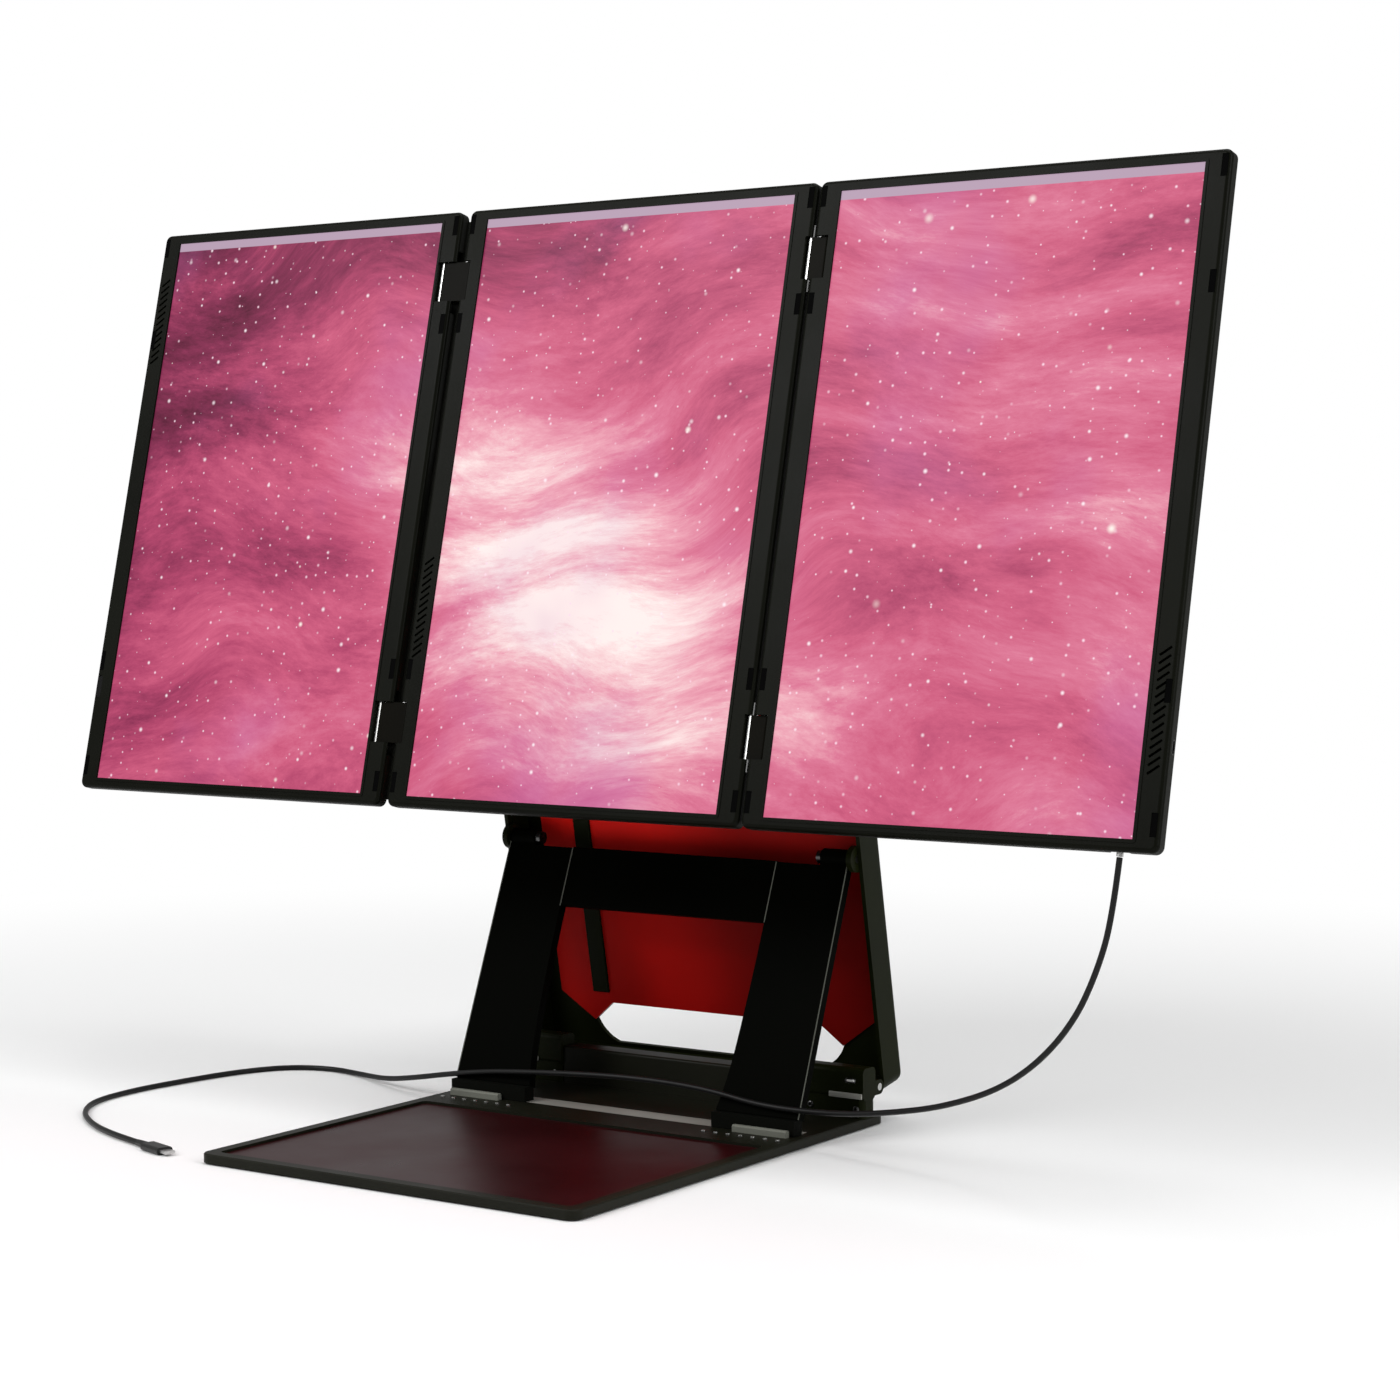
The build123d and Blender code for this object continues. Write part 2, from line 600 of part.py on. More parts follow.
with BuildPart() as tilt_pins:
    tilt_pin_length = 2 * TILT_BARREL_L + BARREL_GAP
    for sign in (-1, 1):
        start = TILT_OUTER_X - tilt_pin_length
        with BuildSketch(across(start if sign > 0 else -TILT_OUTER_X)):
            with Locations((TILT_Y, TILT_Z)):
                Circle(TILT_PIN_R)
        extrude(amount=tilt_pin_length)
tilt_pins.part.label = "tilt_pins"
export_step(tilt_pins.part, "parts/tilt_pins.step")

with BuildPart() as tilt_bracket:
    with BuildSketch(panel_plane(0, PANEL_T)):
        RectangleRounded(TILT_PLATE_W, TILT_PLATE_H, TILT_PLATE_CORNER)
    extrude(amount=-TILT_PLATE_T)
    for sign in (-1, 1):
        with BuildSketch(across(sign * panel_barrel_x - TILT_BARREL_L / 2)):
            with Locations((TILT_Y, TILT_Z)):
                Circle(TILT_BARREL_R)
            with Locations(Location((TILT_Y, TILT_Z), -TILT_REST)):
                Rectangle(
                    TILT_BEHIND - FIT, 2 * TILT_BARREL_R, align=(Align.MAX, Align.CENTER)
                )
            with Locations((TILT_Y, TILT_Z)):
                Circle(TILT_PIN_R + PIN_CLEAR, mode=Mode.SUBTRACT)
        extrude(amount=TILT_BARREL_L)
tilt_bracket.part.label = "tilt_bracket"
export_step(tilt_bracket.part, "parts/tilt_bracket.step")

with BuildPart() as bracket_screws:
    with BuildSketch(panel_plane(0, PANEL_T + TILT_PLATE_T)):
        with GridLocations(
            TILT_PLATE_W - 2 * BRACKET_SCREW_INSET, TILT_PLATE_H - 2 * BRACKET_SCREW_INSET, 2, 2
        ):
            Circle(BRACKET_SCREW_R)
    extrude(amount=-BRACKET_SCREW_H)
    screw_tops = bracket_screws.faces().sort_by(plane_axis(panel_plane(0)))[0:4]
    chamfer(screw_tops.edges(), BRACKET_SCREW_H / 4)
bracket_screws.part.label = "bracket_screws"
export_step(bracket_screws.part, "parts/bracket_screws.step")

# ---------------------------------------------------------------------- leg frame
shoe_top = -LEG_L + SHOE_H
waist_top = -CROSSBAR_TOP - CROSSBAR_H - 2 * FIT
barrel_start = LEG_TOP_OUT - LEG_BARREL_L

for side, sign in (("left", -1), ("right", 1)):
    with BuildPart() as leg:
        with BuildSketch(leg_plane(LEG_T / 2)):
            with BuildLine():
                Polyline(
                    (sign * LEG_TOP_IN, waist_top),
                    (sign * LEG_TOP_IN, -LEG_SHOULDER),
                    (sign * (LEG_TOP_OUT - LEG_BARREL_L), -LEG_SHOULDER),
                    (sign * (LEG_TOP_OUT - LEG_BARREL_L), 0),
                    (sign * LEG_TOP_OUT, 0),
                    (sign * LEG_FOOT_OUT, shoe_top),
                    (sign * LEG_FOOT_IN, shoe_top),
                )
                Spline(
                    (sign * LEG_FOOT_IN, shoe_top),
                    (sign * LEG_WAIST_IN, shoe_top + LEG_WAIST_UP),
                    (sign * LEG_TOP_IN, waist_top),
                    tangents=((sign * 0.25, 1), (0, 1)),
                )
            make_face()
        extrude(amount=LEG_T)
        with BuildSketch(across(barrel_start if sign > 0 else -LEG_TOP_OUT)):
            with Locations((PIVOT_Y, PIVOT_Z)):
                Circle(LEG_BARREL_R)
        extrude(amount=LEG_BARREL_L)
        with BuildSketch(across(barrel_start if sign > 0 else -LEG_FOOT_OUT)):
            with Locations((PIVOT_Y, PIVOT_Z)):
                Circle(LEG_PIN_R + PIN_CLEAR)
        extrude(amount=LEG_FOOT_OUT - barrel_start, mode=Mode.SUBTRACT)
    leg.part.label = f"leg_{side}"
    export_step(leg.part, f"parts/leg_{side}.step")

with BuildPart() as leg_crossbar:
    with BuildSketch(leg_plane(CROSSBAR_T / 2)):
        with Locations((0, -CROSSBAR_TOP - CROSSBAR_H / 2)):
            Rectangle(2 * LEG_TOP_IN, CROSSBAR_H)
    extrude(amount=CROSSBAR_T)
    chamfer(leg_crossbar.edges().filter_by(Axis.X), SMALL_EDGE)
leg_crossbar.part.label = "leg_crossbar"
export_step(leg_crossbar.part, "parts/leg_crossbar.step")

with BuildPart() as leg_foot_shoes:
    for sign in (-1, 1):
        with BuildSketch(across(LEG_FOOT_IN if sign > 0 else -LEG_FOOT_OUT)):
            with Locations((LEG_FOOT_Y, FOOT_Z)):
                Rectangle(SHOE_T, SHOE_H, align=(Align.CENTER, Align.MIN))
        extrude(amount=LEG_FOOT_OUT - LEG_FOOT_IN)
    with BuildSketch(leg_plane(SHOE_T)):
        with Locations((0, shoe_top)):
            Rectangle(BASE_W, SHOE_H * 2, align=(Align.CENTER, Align.MIN))
    extrude(amount=SHOE_T * 2, mode=Mode.SUBTRACT)
leg_foot_shoes.part.label = "leg_foot_shoes"
export_step(leg_foot_shoes.part, "parts/leg_foot_shoes.step")

with BuildPart() as leg_hinge_pins:
    knob_start = barrel_start - FIT - LEG_KNOB_L
    for start, radius, length in (
        (knob_start, LEG_KNOB_R, LEG_KNOB_L),
        (knob_start, LEG_PIN_R, SHELL_W / 2 - SHELL_WALL - knob_start),
    ):
        for sign in (-1, 1):
            with BuildSketch(across(start if sign > 0 else -start - length)):
                with Locations((PIVOT_Y, PIVOT_Z)):
                    Circle(radius)
            extrude(amount=length)
leg_hinge_pins.part.label = "leg_hinge_pins"
export_step(leg_hinge_pins.part, "parts/leg_hinge_pins.step")

# ----------------------------------------------------------------- screen panels
# Each panel: centre, and its hinge sides as (sign, axis inset from that edge).
PANELS = {
    "left": (LEFT_X, ((1, LEFT_PANEL_INSET),)),
    "middle": (0.0, ((-1, LEFT_AXIS_INSET), (1, RIGHT_AXIS_INSET))),
    "right": (RIGHT_X, ((-1, RIGHT_PANEL_INSET),)),
}
# Vents in the bezel: side of the panel, first and last distance from the top.
VENTS = {"left": (-1, 37.0, 99.0), "middle": (-1, 252.0, 317.0), "right": (1, 303.0, 376.0)}
BUTTONS = {
    "left": (-(HALF_W - LEFT_BUTTON_INSET), HALF_H - LEFT_BUTTON_DROP),
    "middle": (HALF_W - COVER_WALL - CHANNEL_W / 2, HALF_H - BACK_BUTTON_DROP),
    "right": (HALF_W - COVER_WALL - CHANNEL_W / 2, HALF_H - BACK_BUTTON_DROP),
}
notch_height = LINK_H + 2 * LINK_CLEAR
knuckle_span = notch_height + 2 * KNUCKLE_H + 2 * FIT
power_port_up = HALF_H - POWER_PORT_DROP
bay_top = -HALF_H + BAY_H
data_mouth = Plane(
    origin=panel_plane(RIGHT_X).from_local_coords((DATA_PORT_X, bay_top, -DATA_PORT_DEPTH)),
    x_dir=(1, 0, 0),
    z_dir=(-UP[0], -UP[1], -UP[2]),
)
power_mouth = Plane(
    origin=panel_plane(RIGHT_X).from_local_coords((HALF_W, power_port_up, -POWER_PORT_DEPTH)),
    x_dir=UP,
    z_dir=(1, 0, 0),
)


def hinge_notches(centre_x, hinge_sides, depth, height, span, reach):
    """Cut a slot for each link, from the panel's edge to past its axis."""
    for sign, inset in hinge_sides:
        width = inset + reach
        for row in LINK_ROWS:
            with BuildSketch(panel_plane(centre_x, depth)) as notch:
                with Locations((sign * HALF_W, row)):
                    align_x = Align.MAX if sign > 0 else Align.MIN
                    Rectangle(width, span, align=(align_x, Align.CENTER))
            extrude(notch.sketch, amount=height, mode=Mode.SUBTRACT)


for side, (centre_x, hinge_sides) in PANELS.items():
    front_axis = plane_axis(panel_plane(centre_x))
    button_x, button_y = BUTTONS[side]
    front_button = side == "left"

    with BuildPart() as bezel:
        with BuildSketch(panel_plane(centre_x, BEZEL_T)):
            RectangleRounded(PANEL_W, PANEL_H, PANEL_CORNER)
        extrude(amount=BEZEL_T)
        fillet(bezel.faces().sort_by(front_axis)[-1].edges(), FRONT_ROUND)
        with BuildSketch(panel_plane(centre_x)):
            RectangleRounded(ACTIVE_W + 2 * LIP_W, ACTIVE_H + 2 * LIP_W, LIP_W)
        extrude(amount=LIP_H)
        with BuildSketch(panel_plane(centre_x, BEZEL_T)):
            Rectangle(SCREEN_W + 2 * FIT, SCREEN_H + 2 * FIT)
        extrude(amount=BEZEL_T - BEZEL_LEDGE, mode=Mode.SUBTRACT)
        with BuildSketch(panel_plane(centre_x, BEZEL_T)):
            Rectangle(ACTIVE_W, ACTIVE_H)
        extrude(amount=BEZEL_T + LIP_H, mode=Mode.SUBTRACT)
        hinge_notches(
            centre_x, hinge_sides, BEZEL_T, BEZEL_T + LIP_H, notch_height, LINK_R + LINK_CLEAR
        )
        knuckle_rise = BEZEL_T - HINGE_DEPTH + KNUCKLE_R + FIT
        hinge_notches(
            centre_x, hinge_sides, BEZEL_T, knuckle_rise, knuckle_span, LINK_R + LINK_CLEAR
        )
        with BuildSketch(panel_plane(centre_x, PAD_DEPTH)):
            for drop in PAD_DROPS:
                with Locations((0, HALF_H - drop)):
                    with GridLocations(PANEL_W - 2 * PAD_INSET, 0, 2, 1):
                        Rectangle(PAD_W + FIT, PAD_L + FIT)
        extrude(amount=PAD_DEPTH, mode=Mode.SUBTRACT)
        vent_sign, vent_first, vent_last = VENTS[side]
        vent_count = int((vent_last - vent_first) / VENT_PITCH) + 1
        with BuildSketch(panel_plane(centre_x, BEZEL_T)):
            vent_up = HALF_H - (vent_first + vent_last) / 2
            with Locations((vent_sign * (HALF_W - VENT_INSET), vent_up)):
                with GridLocations(0, VENT_PITCH, 1, vent_count):
                    Rectangle(VENT_L, VENT_W, rotation=VENT_SLANT)
        extrude(amount=BEZEL_T, mode=Mode.SUBTRACT)
        if front_button:
            with BuildSketch(panel_plane(centre_x, BEZEL_T)):
                with Locations((button_x, button_y)):
                    SlotOverall(BUTTON_L + 2 * BUTTON_CLEAR, BUTTON_W + 2 * BUTTON_CLEAR, rotation=90)
            extrude(amount=BEZEL_T, mode=Mode.SUBTRACT)
    bezel.part.label = f"{side}_bezel"
    export_step(bezel.part, f"parts/{side}_bezel.step")

    with BuildPart() as rear_cover:
        with BuildSketch(panel_plane(centre_x, PANEL_T)):
            RectangleRounded(PANEL_W, PANEL_H, PANEL_CORNER)
        extrude(amount=PANEL_T - BEZEL_T)
        fillet(rear_cover.faces().sort_by(front_axis)[0].edges(), BACK_ROUND)
        with BuildSketch(panel_plane(centre_x, FLOOR_DEPTH)):
            Rectangle(SCREEN_W + 2 * FIT, SCREEN_H + 2 * FIT)
            with GridLocations(PANEL_W - 2 * COVER_WALL - CHANNEL_W, 0, 2, 1):
                Rectangle(CHANNEL_W, SCREEN_H)
        extrude(amount=FLOOR_DEPTH - BEZEL_T, mode=Mode.SUBTRACT)
        hinge_notches(
            centre_x, hinge_sides, FLOOR_DEPTH, FLOOR_DEPTH - BEZEL_T, knuckle_span,
            LINK_R + LINK_CLEAR,
        )
        hinge_notches(
            centre_x, [h for h in hinge_sides if h[1] > CHANNEL_W], FLOOR_DEPTH,
            FLOOR_DEPTH - MODULE_BACK, knuckle_span, KNUCKLE_FOOT + FIT,
        )
        if not front_button:
            with BuildSketch(panel_plane(centre_x, PANEL_T)):
                with Locations((button_x, button_y)):
                    SlotOverall(BUTTON_L + 2 * BUTTON_CLEAR, BUTTON_W + 2 * BUTTON_CLEAR, rotation=90)
            extrude(amount=COVER_FLOOR, mode=Mode.SUBTRACT)
        if side == "right":
            bay_block_top = bay_top + BAY_WALL
            with BuildSketch(panel_plane(centre_x, FLOOR_DEPTH)):
                with Locations((DATA_PORT_X, bay_block_top)):
                    Rectangle(
                        BAY_W + 2 * BAY_WALL, bay_block_top + SCREEN_H / 2 + 1,
                        align=(Align.CENTER, Align.MAX),
                    )
            extrude(amount=FLOOR_DEPTH - MODULE_BACK - FIT)
            with BuildSketch(panel_plane(centre_x, PANEL_T)):
                with Locations((DATA_PORT_X, bay_top)):
                    Rectangle(BAY_W, BAY_H + 1, align=(Align.CENTER, Align.MAX))
            extrude(amount=PANEL_T - MODULE_BACK - FIT, mode=Mode.SUBTRACT)
            with BuildSketch(panel_plane(centre_x, DATA_PORT_DEPTH + PORT_T / 2 + PORT_CLEAR)):
                with Locations((DATA_PORT_X, bay_top)):
                    Rectangle(
                        PORT_W + 2 * PORT_CLEAR, PORT_L + PORT_CLEAR, align=(Align.CENTER, Align.MIN)
                    )
            extrude(amount=PORT_T / 2, mode=Mode.SUBTRACT)
            port_mouth = panel_section(centre_x, bay_top)
            with BuildSketch(port_mouth):
                with Locations((DATA_PORT_X, DATA_PORT_DEPTH)):
                    SlotOverall(PORT_W + 2 * PORT_CLEAR, PORT_T + 2 * PORT_CLEAR)
            extrude(amount=BAY_WALL, mode=Mode.SUBTRACT)
            with BuildSketch(power_mouth):
                SlotOverall(PORT_W + 2 * PORT_CLEAR, PORT_T + 2 * PORT_CLEAR)
            extrude(amount=-COVER_WALL, mode=Mode.SUBTRACT)
    rear_cover.part.label = f"{side}_rear_cover"
    export_step(rear_cover.part, f"parts/{side}_rear_cover.step")

    with BuildPart() as screen:
        with BuildSketch(panel_plane(centre_x, BEZEL_LEDGE + SCREEN_T)):
            Rectangle(SCREEN_W, SCREEN_H)
        extrude(amount=SCREEN_T)
    screen.part.label = f"{side}_screen"
    export_step(screen.part, f"parts/{side}_screen.step")

    with BuildPart() as display_module:
        with BuildSketch(panel_plane(centre_x, MODULE_BACK)):
            RectangleRounded(SCREEN_W, SCREEN_H, MODULE_CORNER)
        extrude(amount=MODULE_T)
    display_module.part.label = f"{side}_display_module"
    export_step(display_module.part, f"parts/{side}_display_module.step")

    with BuildPart() as driver_board:
        board_y = bay_top + PORT_L + FIT + BOARD_H / 2
        with BuildSketch(panel_plane(centre_x, FLOOR_DEPTH)):
            with Locations((BOARD_X, board_y)):
                Rectangle(BOARD_W, BOARD_H)
        extrude(amount=BOARD_T)
        with BuildSketch(panel_plane(centre_x, FLOOR_DEPTH - BOARD_T)):
            with Locations((BOARD_X - BOARD_W / 5, board_y)):
                Rectangle(MAIN_CHIP, MAIN_CHIP)
            with Locations((BOARD_X + BOARD_W / 4, board_y - BOARD_H / 6)):
                with GridLocations(CHIP_PITCH, CHIP_PITCH, 2, 2):
                    Rectangle(SMALL_CHIP, SMALL_CHIP)
        extrude(amount=CHIP_T)
    driver_board.part.label = f"{side}_driver_board"
    export_step(driver_board.part, f"parts/{side}_driver_board.step")

    with BuildPart() as pads:
        with BuildSketch(panel_plane(centre_x, PAD_DEPTH)):
            for drop in PAD_DROPS:
                with Locations((0, HALF_H - drop)):
                    with GridLocations(PANEL_W - 2 * PAD_INSET, 0, 2, 1):
                        Rectangle(PAD_W - FIT, PAD_L - FIT)
        extrude(amount=PAD_DEPTH - FIT)
    pads.part.label = f"{side}_pads"
    export_step(pads.part, f"parts/{side}_pads.step")

    with BuildPart() as hinge_knuckles:
        for sign, inset in hinge_sides:
            axis_x = sign * (HALF_W - inset)
            for row in LINK_ROWS:
                for end in (-1, 1):
                    start = row + end * (notch_height + KNUCKLE_H) / 2 - KNUCKLE_H / 2
                    with BuildSketch(panel_section(centre_x, start)):
                        with Locations((axis_x, HINGE_DEPTH)):
                            Circle(KNUCKLE_R)
                        with Locations((axis_x + sign * KNUCKLE_R / 2, FLOOR_DEPTH)):
                            foot_align = Align.MAX if sign > 0 else Align.MIN
                            Rectangle(
                                KNUCKLE_FOOT, FLOOR_DEPTH - HINGE_DEPTH, align=(foot_align, Align.MAX)
                            )
                        with Locations((axis_x, HINGE_DEPTH)):
                            Circle(PIN_R + PIN_CLEAR, mode=Mode.SUBTRACT)
                    extrude(amount=KNUCKLE_H)
    hinge_knuckles.part.label = f"{side}_hinge_knuckles"
    export_step(hinge_knuckles.part, f"parts/{side}_hinge_knuckles.step")

    with BuildPart() as button:
        if front_button:
            with BuildSketch(panel_plane(centre_x, BEZEL_T - BUTTON_TRAVEL - FIT)):
                with Locations((button_x, button_y)):
                    SlotOverall(BUTTON_L, BUTTON_W, rotation=90)
            extrude(amount=BEZEL_T - 2 * BUTTON_TRAVEL - 2 * FIT)
        else:
            with BuildSketch(panel_plane(centre_x, PANEL_T - FIT)):
                with Locations((button_x, button_y)):
                    SlotOverall(BUTTON_L, BUTTON_W, rotation=90)
            extrude(amount=COVER_FLOOR + FIT)
            with BuildSketch(panel_plane(centre_x, FLOOR_DEPTH - FIT)):
                with Locations((button_x, button_y)):
                    SlotOverall(BUTTON_L + BUTTON_FLANGE, BUTTON_W + BUTTON_FLANGE, rotation=90)
            extrude(amount=BUTTON_FLANGE_T)
    button.part.label = f"{side}_button"
    export_step(button.part, f"parts/{side}_button.step")

# --------------------------------------------------------------- right panel's ports
with BuildPart() as right_ports:
    port_shell(data_mouth)
    port_shell(power_mouth)
right_ports.part.label = "right_ports"
export_step(right_ports.part, "parts/right_ports.step")

# ----------------------------------------------------------------------- side links
LINKS = {
    "left": (-HALF_W + LEFT_AXIS_INSET, -1, LEFT_LINK_L),
    "right": (HALF_W - RIGHT_AXIS_INSET, 1, RIGHT_LINK_L),
}
for side, (axis_x, sign, length) in LINKS.items():
    with BuildPart() as links:
        for row in LINK_ROWS:
            with BuildSketch(panel_section(0, row - LINK_H / 2)):
                with Locations((axis_x + sign * length / 2, HINGE_DEPTH)):
                    SlotCenterToCenter(length, 2 * LINK_R)
                with Locations((axis_x, HINGE_DEPTH), (axis_x + sign * length, HINGE_DEPTH)):
                    Circle(PIN_R, mode=Mode.SUBTRACT)
            extrude(amount=LINK_H)
    links.part.label = f"{side}_hinge_links"
    export_step(links.part, f"parts/{side}_hinge_links.step")

    with BuildPart() as link_pins:
        for row in LINK_ROWS:
            with BuildSketch(panel_section(0, row - notch_height / 2 - KNUCKLE_H)):
                with Locations((axis_x, HINGE_DEPTH), (axis_x + sign * length, HINGE_DEPTH)):
                    Circle(PIN_R)
            extrude(amount=notch_height + 2 * KNUCKLE_H)
    link_pins.part.label = f"{side}_link_pins"
    export_step(link_pins.part, f"parts/{side}_link_pins.step")


# ------------------------------------------------------------- data cable and plugs
def usb_plug(mouth):
    """USB-C plug pushed into a port's mouth; the cable end lies along the plane's normal."""
    with BuildSketch(mouth) as grip:
        RectangleRounded(PLUG_W, PLUG_T, PLUG_ROUND)
    extrude(grip.sketch, amount=PLUG_L)
    with BuildSketch(mouth.offset(PLUG_L)) as relief_root:
        Circle(CABLE_D / 2 + RELIEF_WALL)
    with BuildSketch(mouth.offset(PLUG_L + RELIEF_L)) as relief_end:
        Circle(CABLE_D / 2 + RELIEF_WALL / 3)
    loft([relief_root.sketch, relief_end.sketch])
    with BuildSketch(mouth) as tongue:
        SlotOverall(TONGUE_W, TONGUE_T)
    extrude(tongue.sketch, amount=-TONGUE_L)


with BuildPart() as panel_plug:
    usb_plug(data_mouth)
panel_plug.part.label = "panel_plug"
export_step(panel_plug.part, "parts/panel_plug.step")

cable_start = data_mouth.offset(PLUG_L + RELIEF_L + CABLE_GAP).origin
TABLE_Z = CABLE_D / 2 + 0.1
CABLE_ROUTE = [
    (cable_start.X, cable_start.Y, cable_start.Z),
    (402.5, 10, 174),
    (391.5, 13, 143),
    (374.5, 18, 112),
    (346, 28, 83),
    (310, 41, 60),
    (266, 53, 43.5),
    (228, 61, 34.5),
    (188, 68.5, 27.5),
    (148, 74.5, 24.2),
    (110, 76.4, 24.6),
    (74, 75.5, 30.5),
    (36, 73, 33),
    (-2, 71, 33),
    (-40, 71, 31),
    (-78, 73, 28),
    (-112, 74.8, 24.8),
    (-148, 75, 19.5),
    (-186, 81, 12),
    (-224, 95, 5),
    (-260, 111, TABLE_Z + 0.3),
    (-298, 119, TABLE_Z),
    (-331, 104, TABLE_Z),
    (-348, 66, TABLE_Z),
    (-355, 20, TABLE_Z),
    (-359, -25, TABLE_Z),
    (-353, -70, TABLE_Z),
    (-330, -102, TABLE_Z),
    (-297, -127, TABLE_Z + 0.3),
    (-259, -146, PLUG_T / 2),
    (-222, -157, PLUG_T / 2),
]


def runs(route):
    """Length of each run of a route."""
    return [(Vector(*b) - Vector(*a)).length for a, b in zip(route, route[1:])]


def corner_radii(route):
    """Largest fitting radius at each inner point of a route."""
    lengths = runs(route)
    radii = []
    for i in range(1, len(route) - 1):
        before = Vector(*route[i]) - Vector(*route[i - 1])
        after = Vector(*route[i + 1]) - Vector(*route[i])
        turn = radians(before.get_angle(after))
        radii.append(0.45 * min(lengths[i - 1], lengths[i]) / (sin(turn / 2) / cos(turn / 2)))
    return radii


plug_heading = (Vector(*CABLE_ROUTE[-1]) - Vector(*CABLE_ROUTE[-2])).normalized()
laptop_mouth = Plane(
    origin=Vector(*CABLE_ROUTE[-1]) + plug_heading * (RELIEF_L + PLUG_L),
    x_dir=plug_heading.cross(Vector(0, 0, 1)),
    z_dir=-plug_heading,
)
with BuildPart() as laptop_plug:
    usb_plug(laptop_mouth)
laptop_plug.part.label = "laptop_plug"
export_step(laptop_plug.part, "parts/laptop_plug.step")

with BuildPart() as data_cable:
    with BuildLine() as cable_path:
        FilletPolyline(*CABLE_ROUTE, radius=corner_radii(CABLE_ROUTE))
    with BuildSketch(Plane(origin=cable_path.line @ 0, z_dir=cable_path.line % 0)):
        Circle(CABLE_D / 2)
    sweep()
data_cable.part.label = "data_cable"
export_step(data_cable.part, "parts/data_cable.step")

cable_length = sum(edge.length for edge in cable_path.line.edges())
cable_volume = cable_length * pi * CABLE_D**2 / 4
print("cable radii", [round(r, 1) for r in corner_radii(CABLE_ROUTE)])
print("cable runs", [round(r, 1) for r in runs(CABLE_ROUTE)])
print("cable length", round(cable_length, 1))
print("cable volume ratio", round(data_cable.part.volume / cable_volume, 4))
print("tilt axis", round(TILT_Y, 3), round(TILT_Z, 3))
print("leg pivot", round(PIVOT_Y, 3), round(PIVOT_Z, 3))
print("leg angle", round(degrees(LEG_ANGLE), 3), "link axes", LINKS, "depth", HINGE_DEPTH)
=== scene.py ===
import bmesh
import bpy
from math import cos, pi, radians, sin
from mathutils import Matrix, Vector


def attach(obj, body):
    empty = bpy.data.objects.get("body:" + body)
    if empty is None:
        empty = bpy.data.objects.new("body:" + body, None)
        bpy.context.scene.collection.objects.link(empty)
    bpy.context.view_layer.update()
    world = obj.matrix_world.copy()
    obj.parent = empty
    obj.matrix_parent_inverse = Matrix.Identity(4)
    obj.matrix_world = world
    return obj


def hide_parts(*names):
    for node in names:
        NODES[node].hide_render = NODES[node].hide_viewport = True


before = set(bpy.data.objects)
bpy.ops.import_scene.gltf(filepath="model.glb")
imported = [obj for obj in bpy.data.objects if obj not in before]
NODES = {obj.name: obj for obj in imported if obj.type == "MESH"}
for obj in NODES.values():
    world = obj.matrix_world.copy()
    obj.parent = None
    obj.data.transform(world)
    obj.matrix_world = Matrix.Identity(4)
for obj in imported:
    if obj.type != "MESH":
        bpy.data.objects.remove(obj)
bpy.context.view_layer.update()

# Panels' common plane: centre of the middle face, its up and front directions.
FACE = Vector((0.0, 0.0536, 0.4209))
LEAN_BACK = radians(13.5)
PANEL_UP = Vector((0, sin(LEAN_BACK), cos(LEAN_BACK)))
PANEL_FRONT = Vector((0, -cos(LEAN_BACK), sin(LEAN_BACK)))

# ------------------------------------------------------------------------- camera
YAW, PITCH, ROLL = radians(34.518), radians(3.251), radians(-0.309)
CAMERA_PLACE = (1.1846, -1.5483, 0.4017)
SENSOR_WIDTH = 36.0
FOCAL_PIXELS = 2990.2
FRAME_PIXELS = 1400
forward = Vector((-sin(YAW) * cos(PITCH), cos(YAW) * cos(PITCH), -sin(PITCH)))
level = Vector((cos(YAW), sin(YAW), 0))
over = level.cross(forward)
right = level * cos(ROLL) + over * sin(ROLL)
above = right.cross(forward)
camera = bpy.data.objects.new("camera", bpy.data.cameras.new("camera"))
bpy.context.scene.collection.objects.link(camera)
camera.matrix_world = Matrix.Translation(CAMERA_PLACE) @ Matrix(
    (right, above, -forward)
).transposed().to_4x4()
camera.data.sensor_width = SENSOR_WIDTH
camera.data.lens = SENSOR_WIDTH * FOCAL_PIXELS / FRAME_PIXELS
camera.data.clip_start = 0.05
bpy.context.scene.camera = camera

# --------------------------------------------------------------------- data cable
CABLE_POINTS = [
    (0.407, 0.010791, 0.210891), (0.4025, 0.010, 0.174), (0.3915, 0.013, 0.143),
    (0.3745, 0.018, 0.112), (0.346, 0.028, 0.083), (0.310, 0.041, 0.060),
    (0.266, 0.053, 0.0435), (0.228, 0.061, 0.0345), (0.188, 0.0685, 0.0275),
    (0.148, 0.0745, 0.0242), (0.110, 0.0764, 0.0246), (0.074, 0.0755, 0.0305),
    (0.036, 0.073, 0.033), (-0.002, 0.071, 0.033), (-0.040, 0.071, 0.031),
    (-0.078, 0.073, 0.028), (-0.112, 0.0748, 0.0248), (-0.148, 0.075, 0.0195),
    (-0.186, 0.081, 0.012), (-0.224, 0.095, 0.005), (-0.260, 0.111, 0.0023),
    (-0.298, 0.119, 0.0020), (-0.331, 0.104, 0.0020), (-0.348, 0.066, 0.0020),
    (-0.355, 0.020, 0.0020), (-0.359, -0.025, 0.0020), (-0.353, -0.070, 0.0020),
    (-0.330, -0.102, 0.0020), (-0.297, -0.127, 0.0023), (-0.259, -0.146, 0.0025),
    (-0.222, -0.157, 0.0025),
]
PLUG_HEADING = (Vector(CABLE_POINTS[-1]) - Vector(CABLE_POINTS[-2])).normalized()
PLUG_REACH = 0.036  # from the lead's end to the front of the plug's grip
PLUG_MOUTH = Vector(CABLE_POINTS[-1]) + PLUG_HEADING * PLUG_REACH
CABLE_RADIUS = 0.0019
cable_curve = bpy.data.curves.new("data_lead", "CURVE")
cable_curve.dimensions = "3D"
cable_line = cable_curve.splines.new("NURBS")
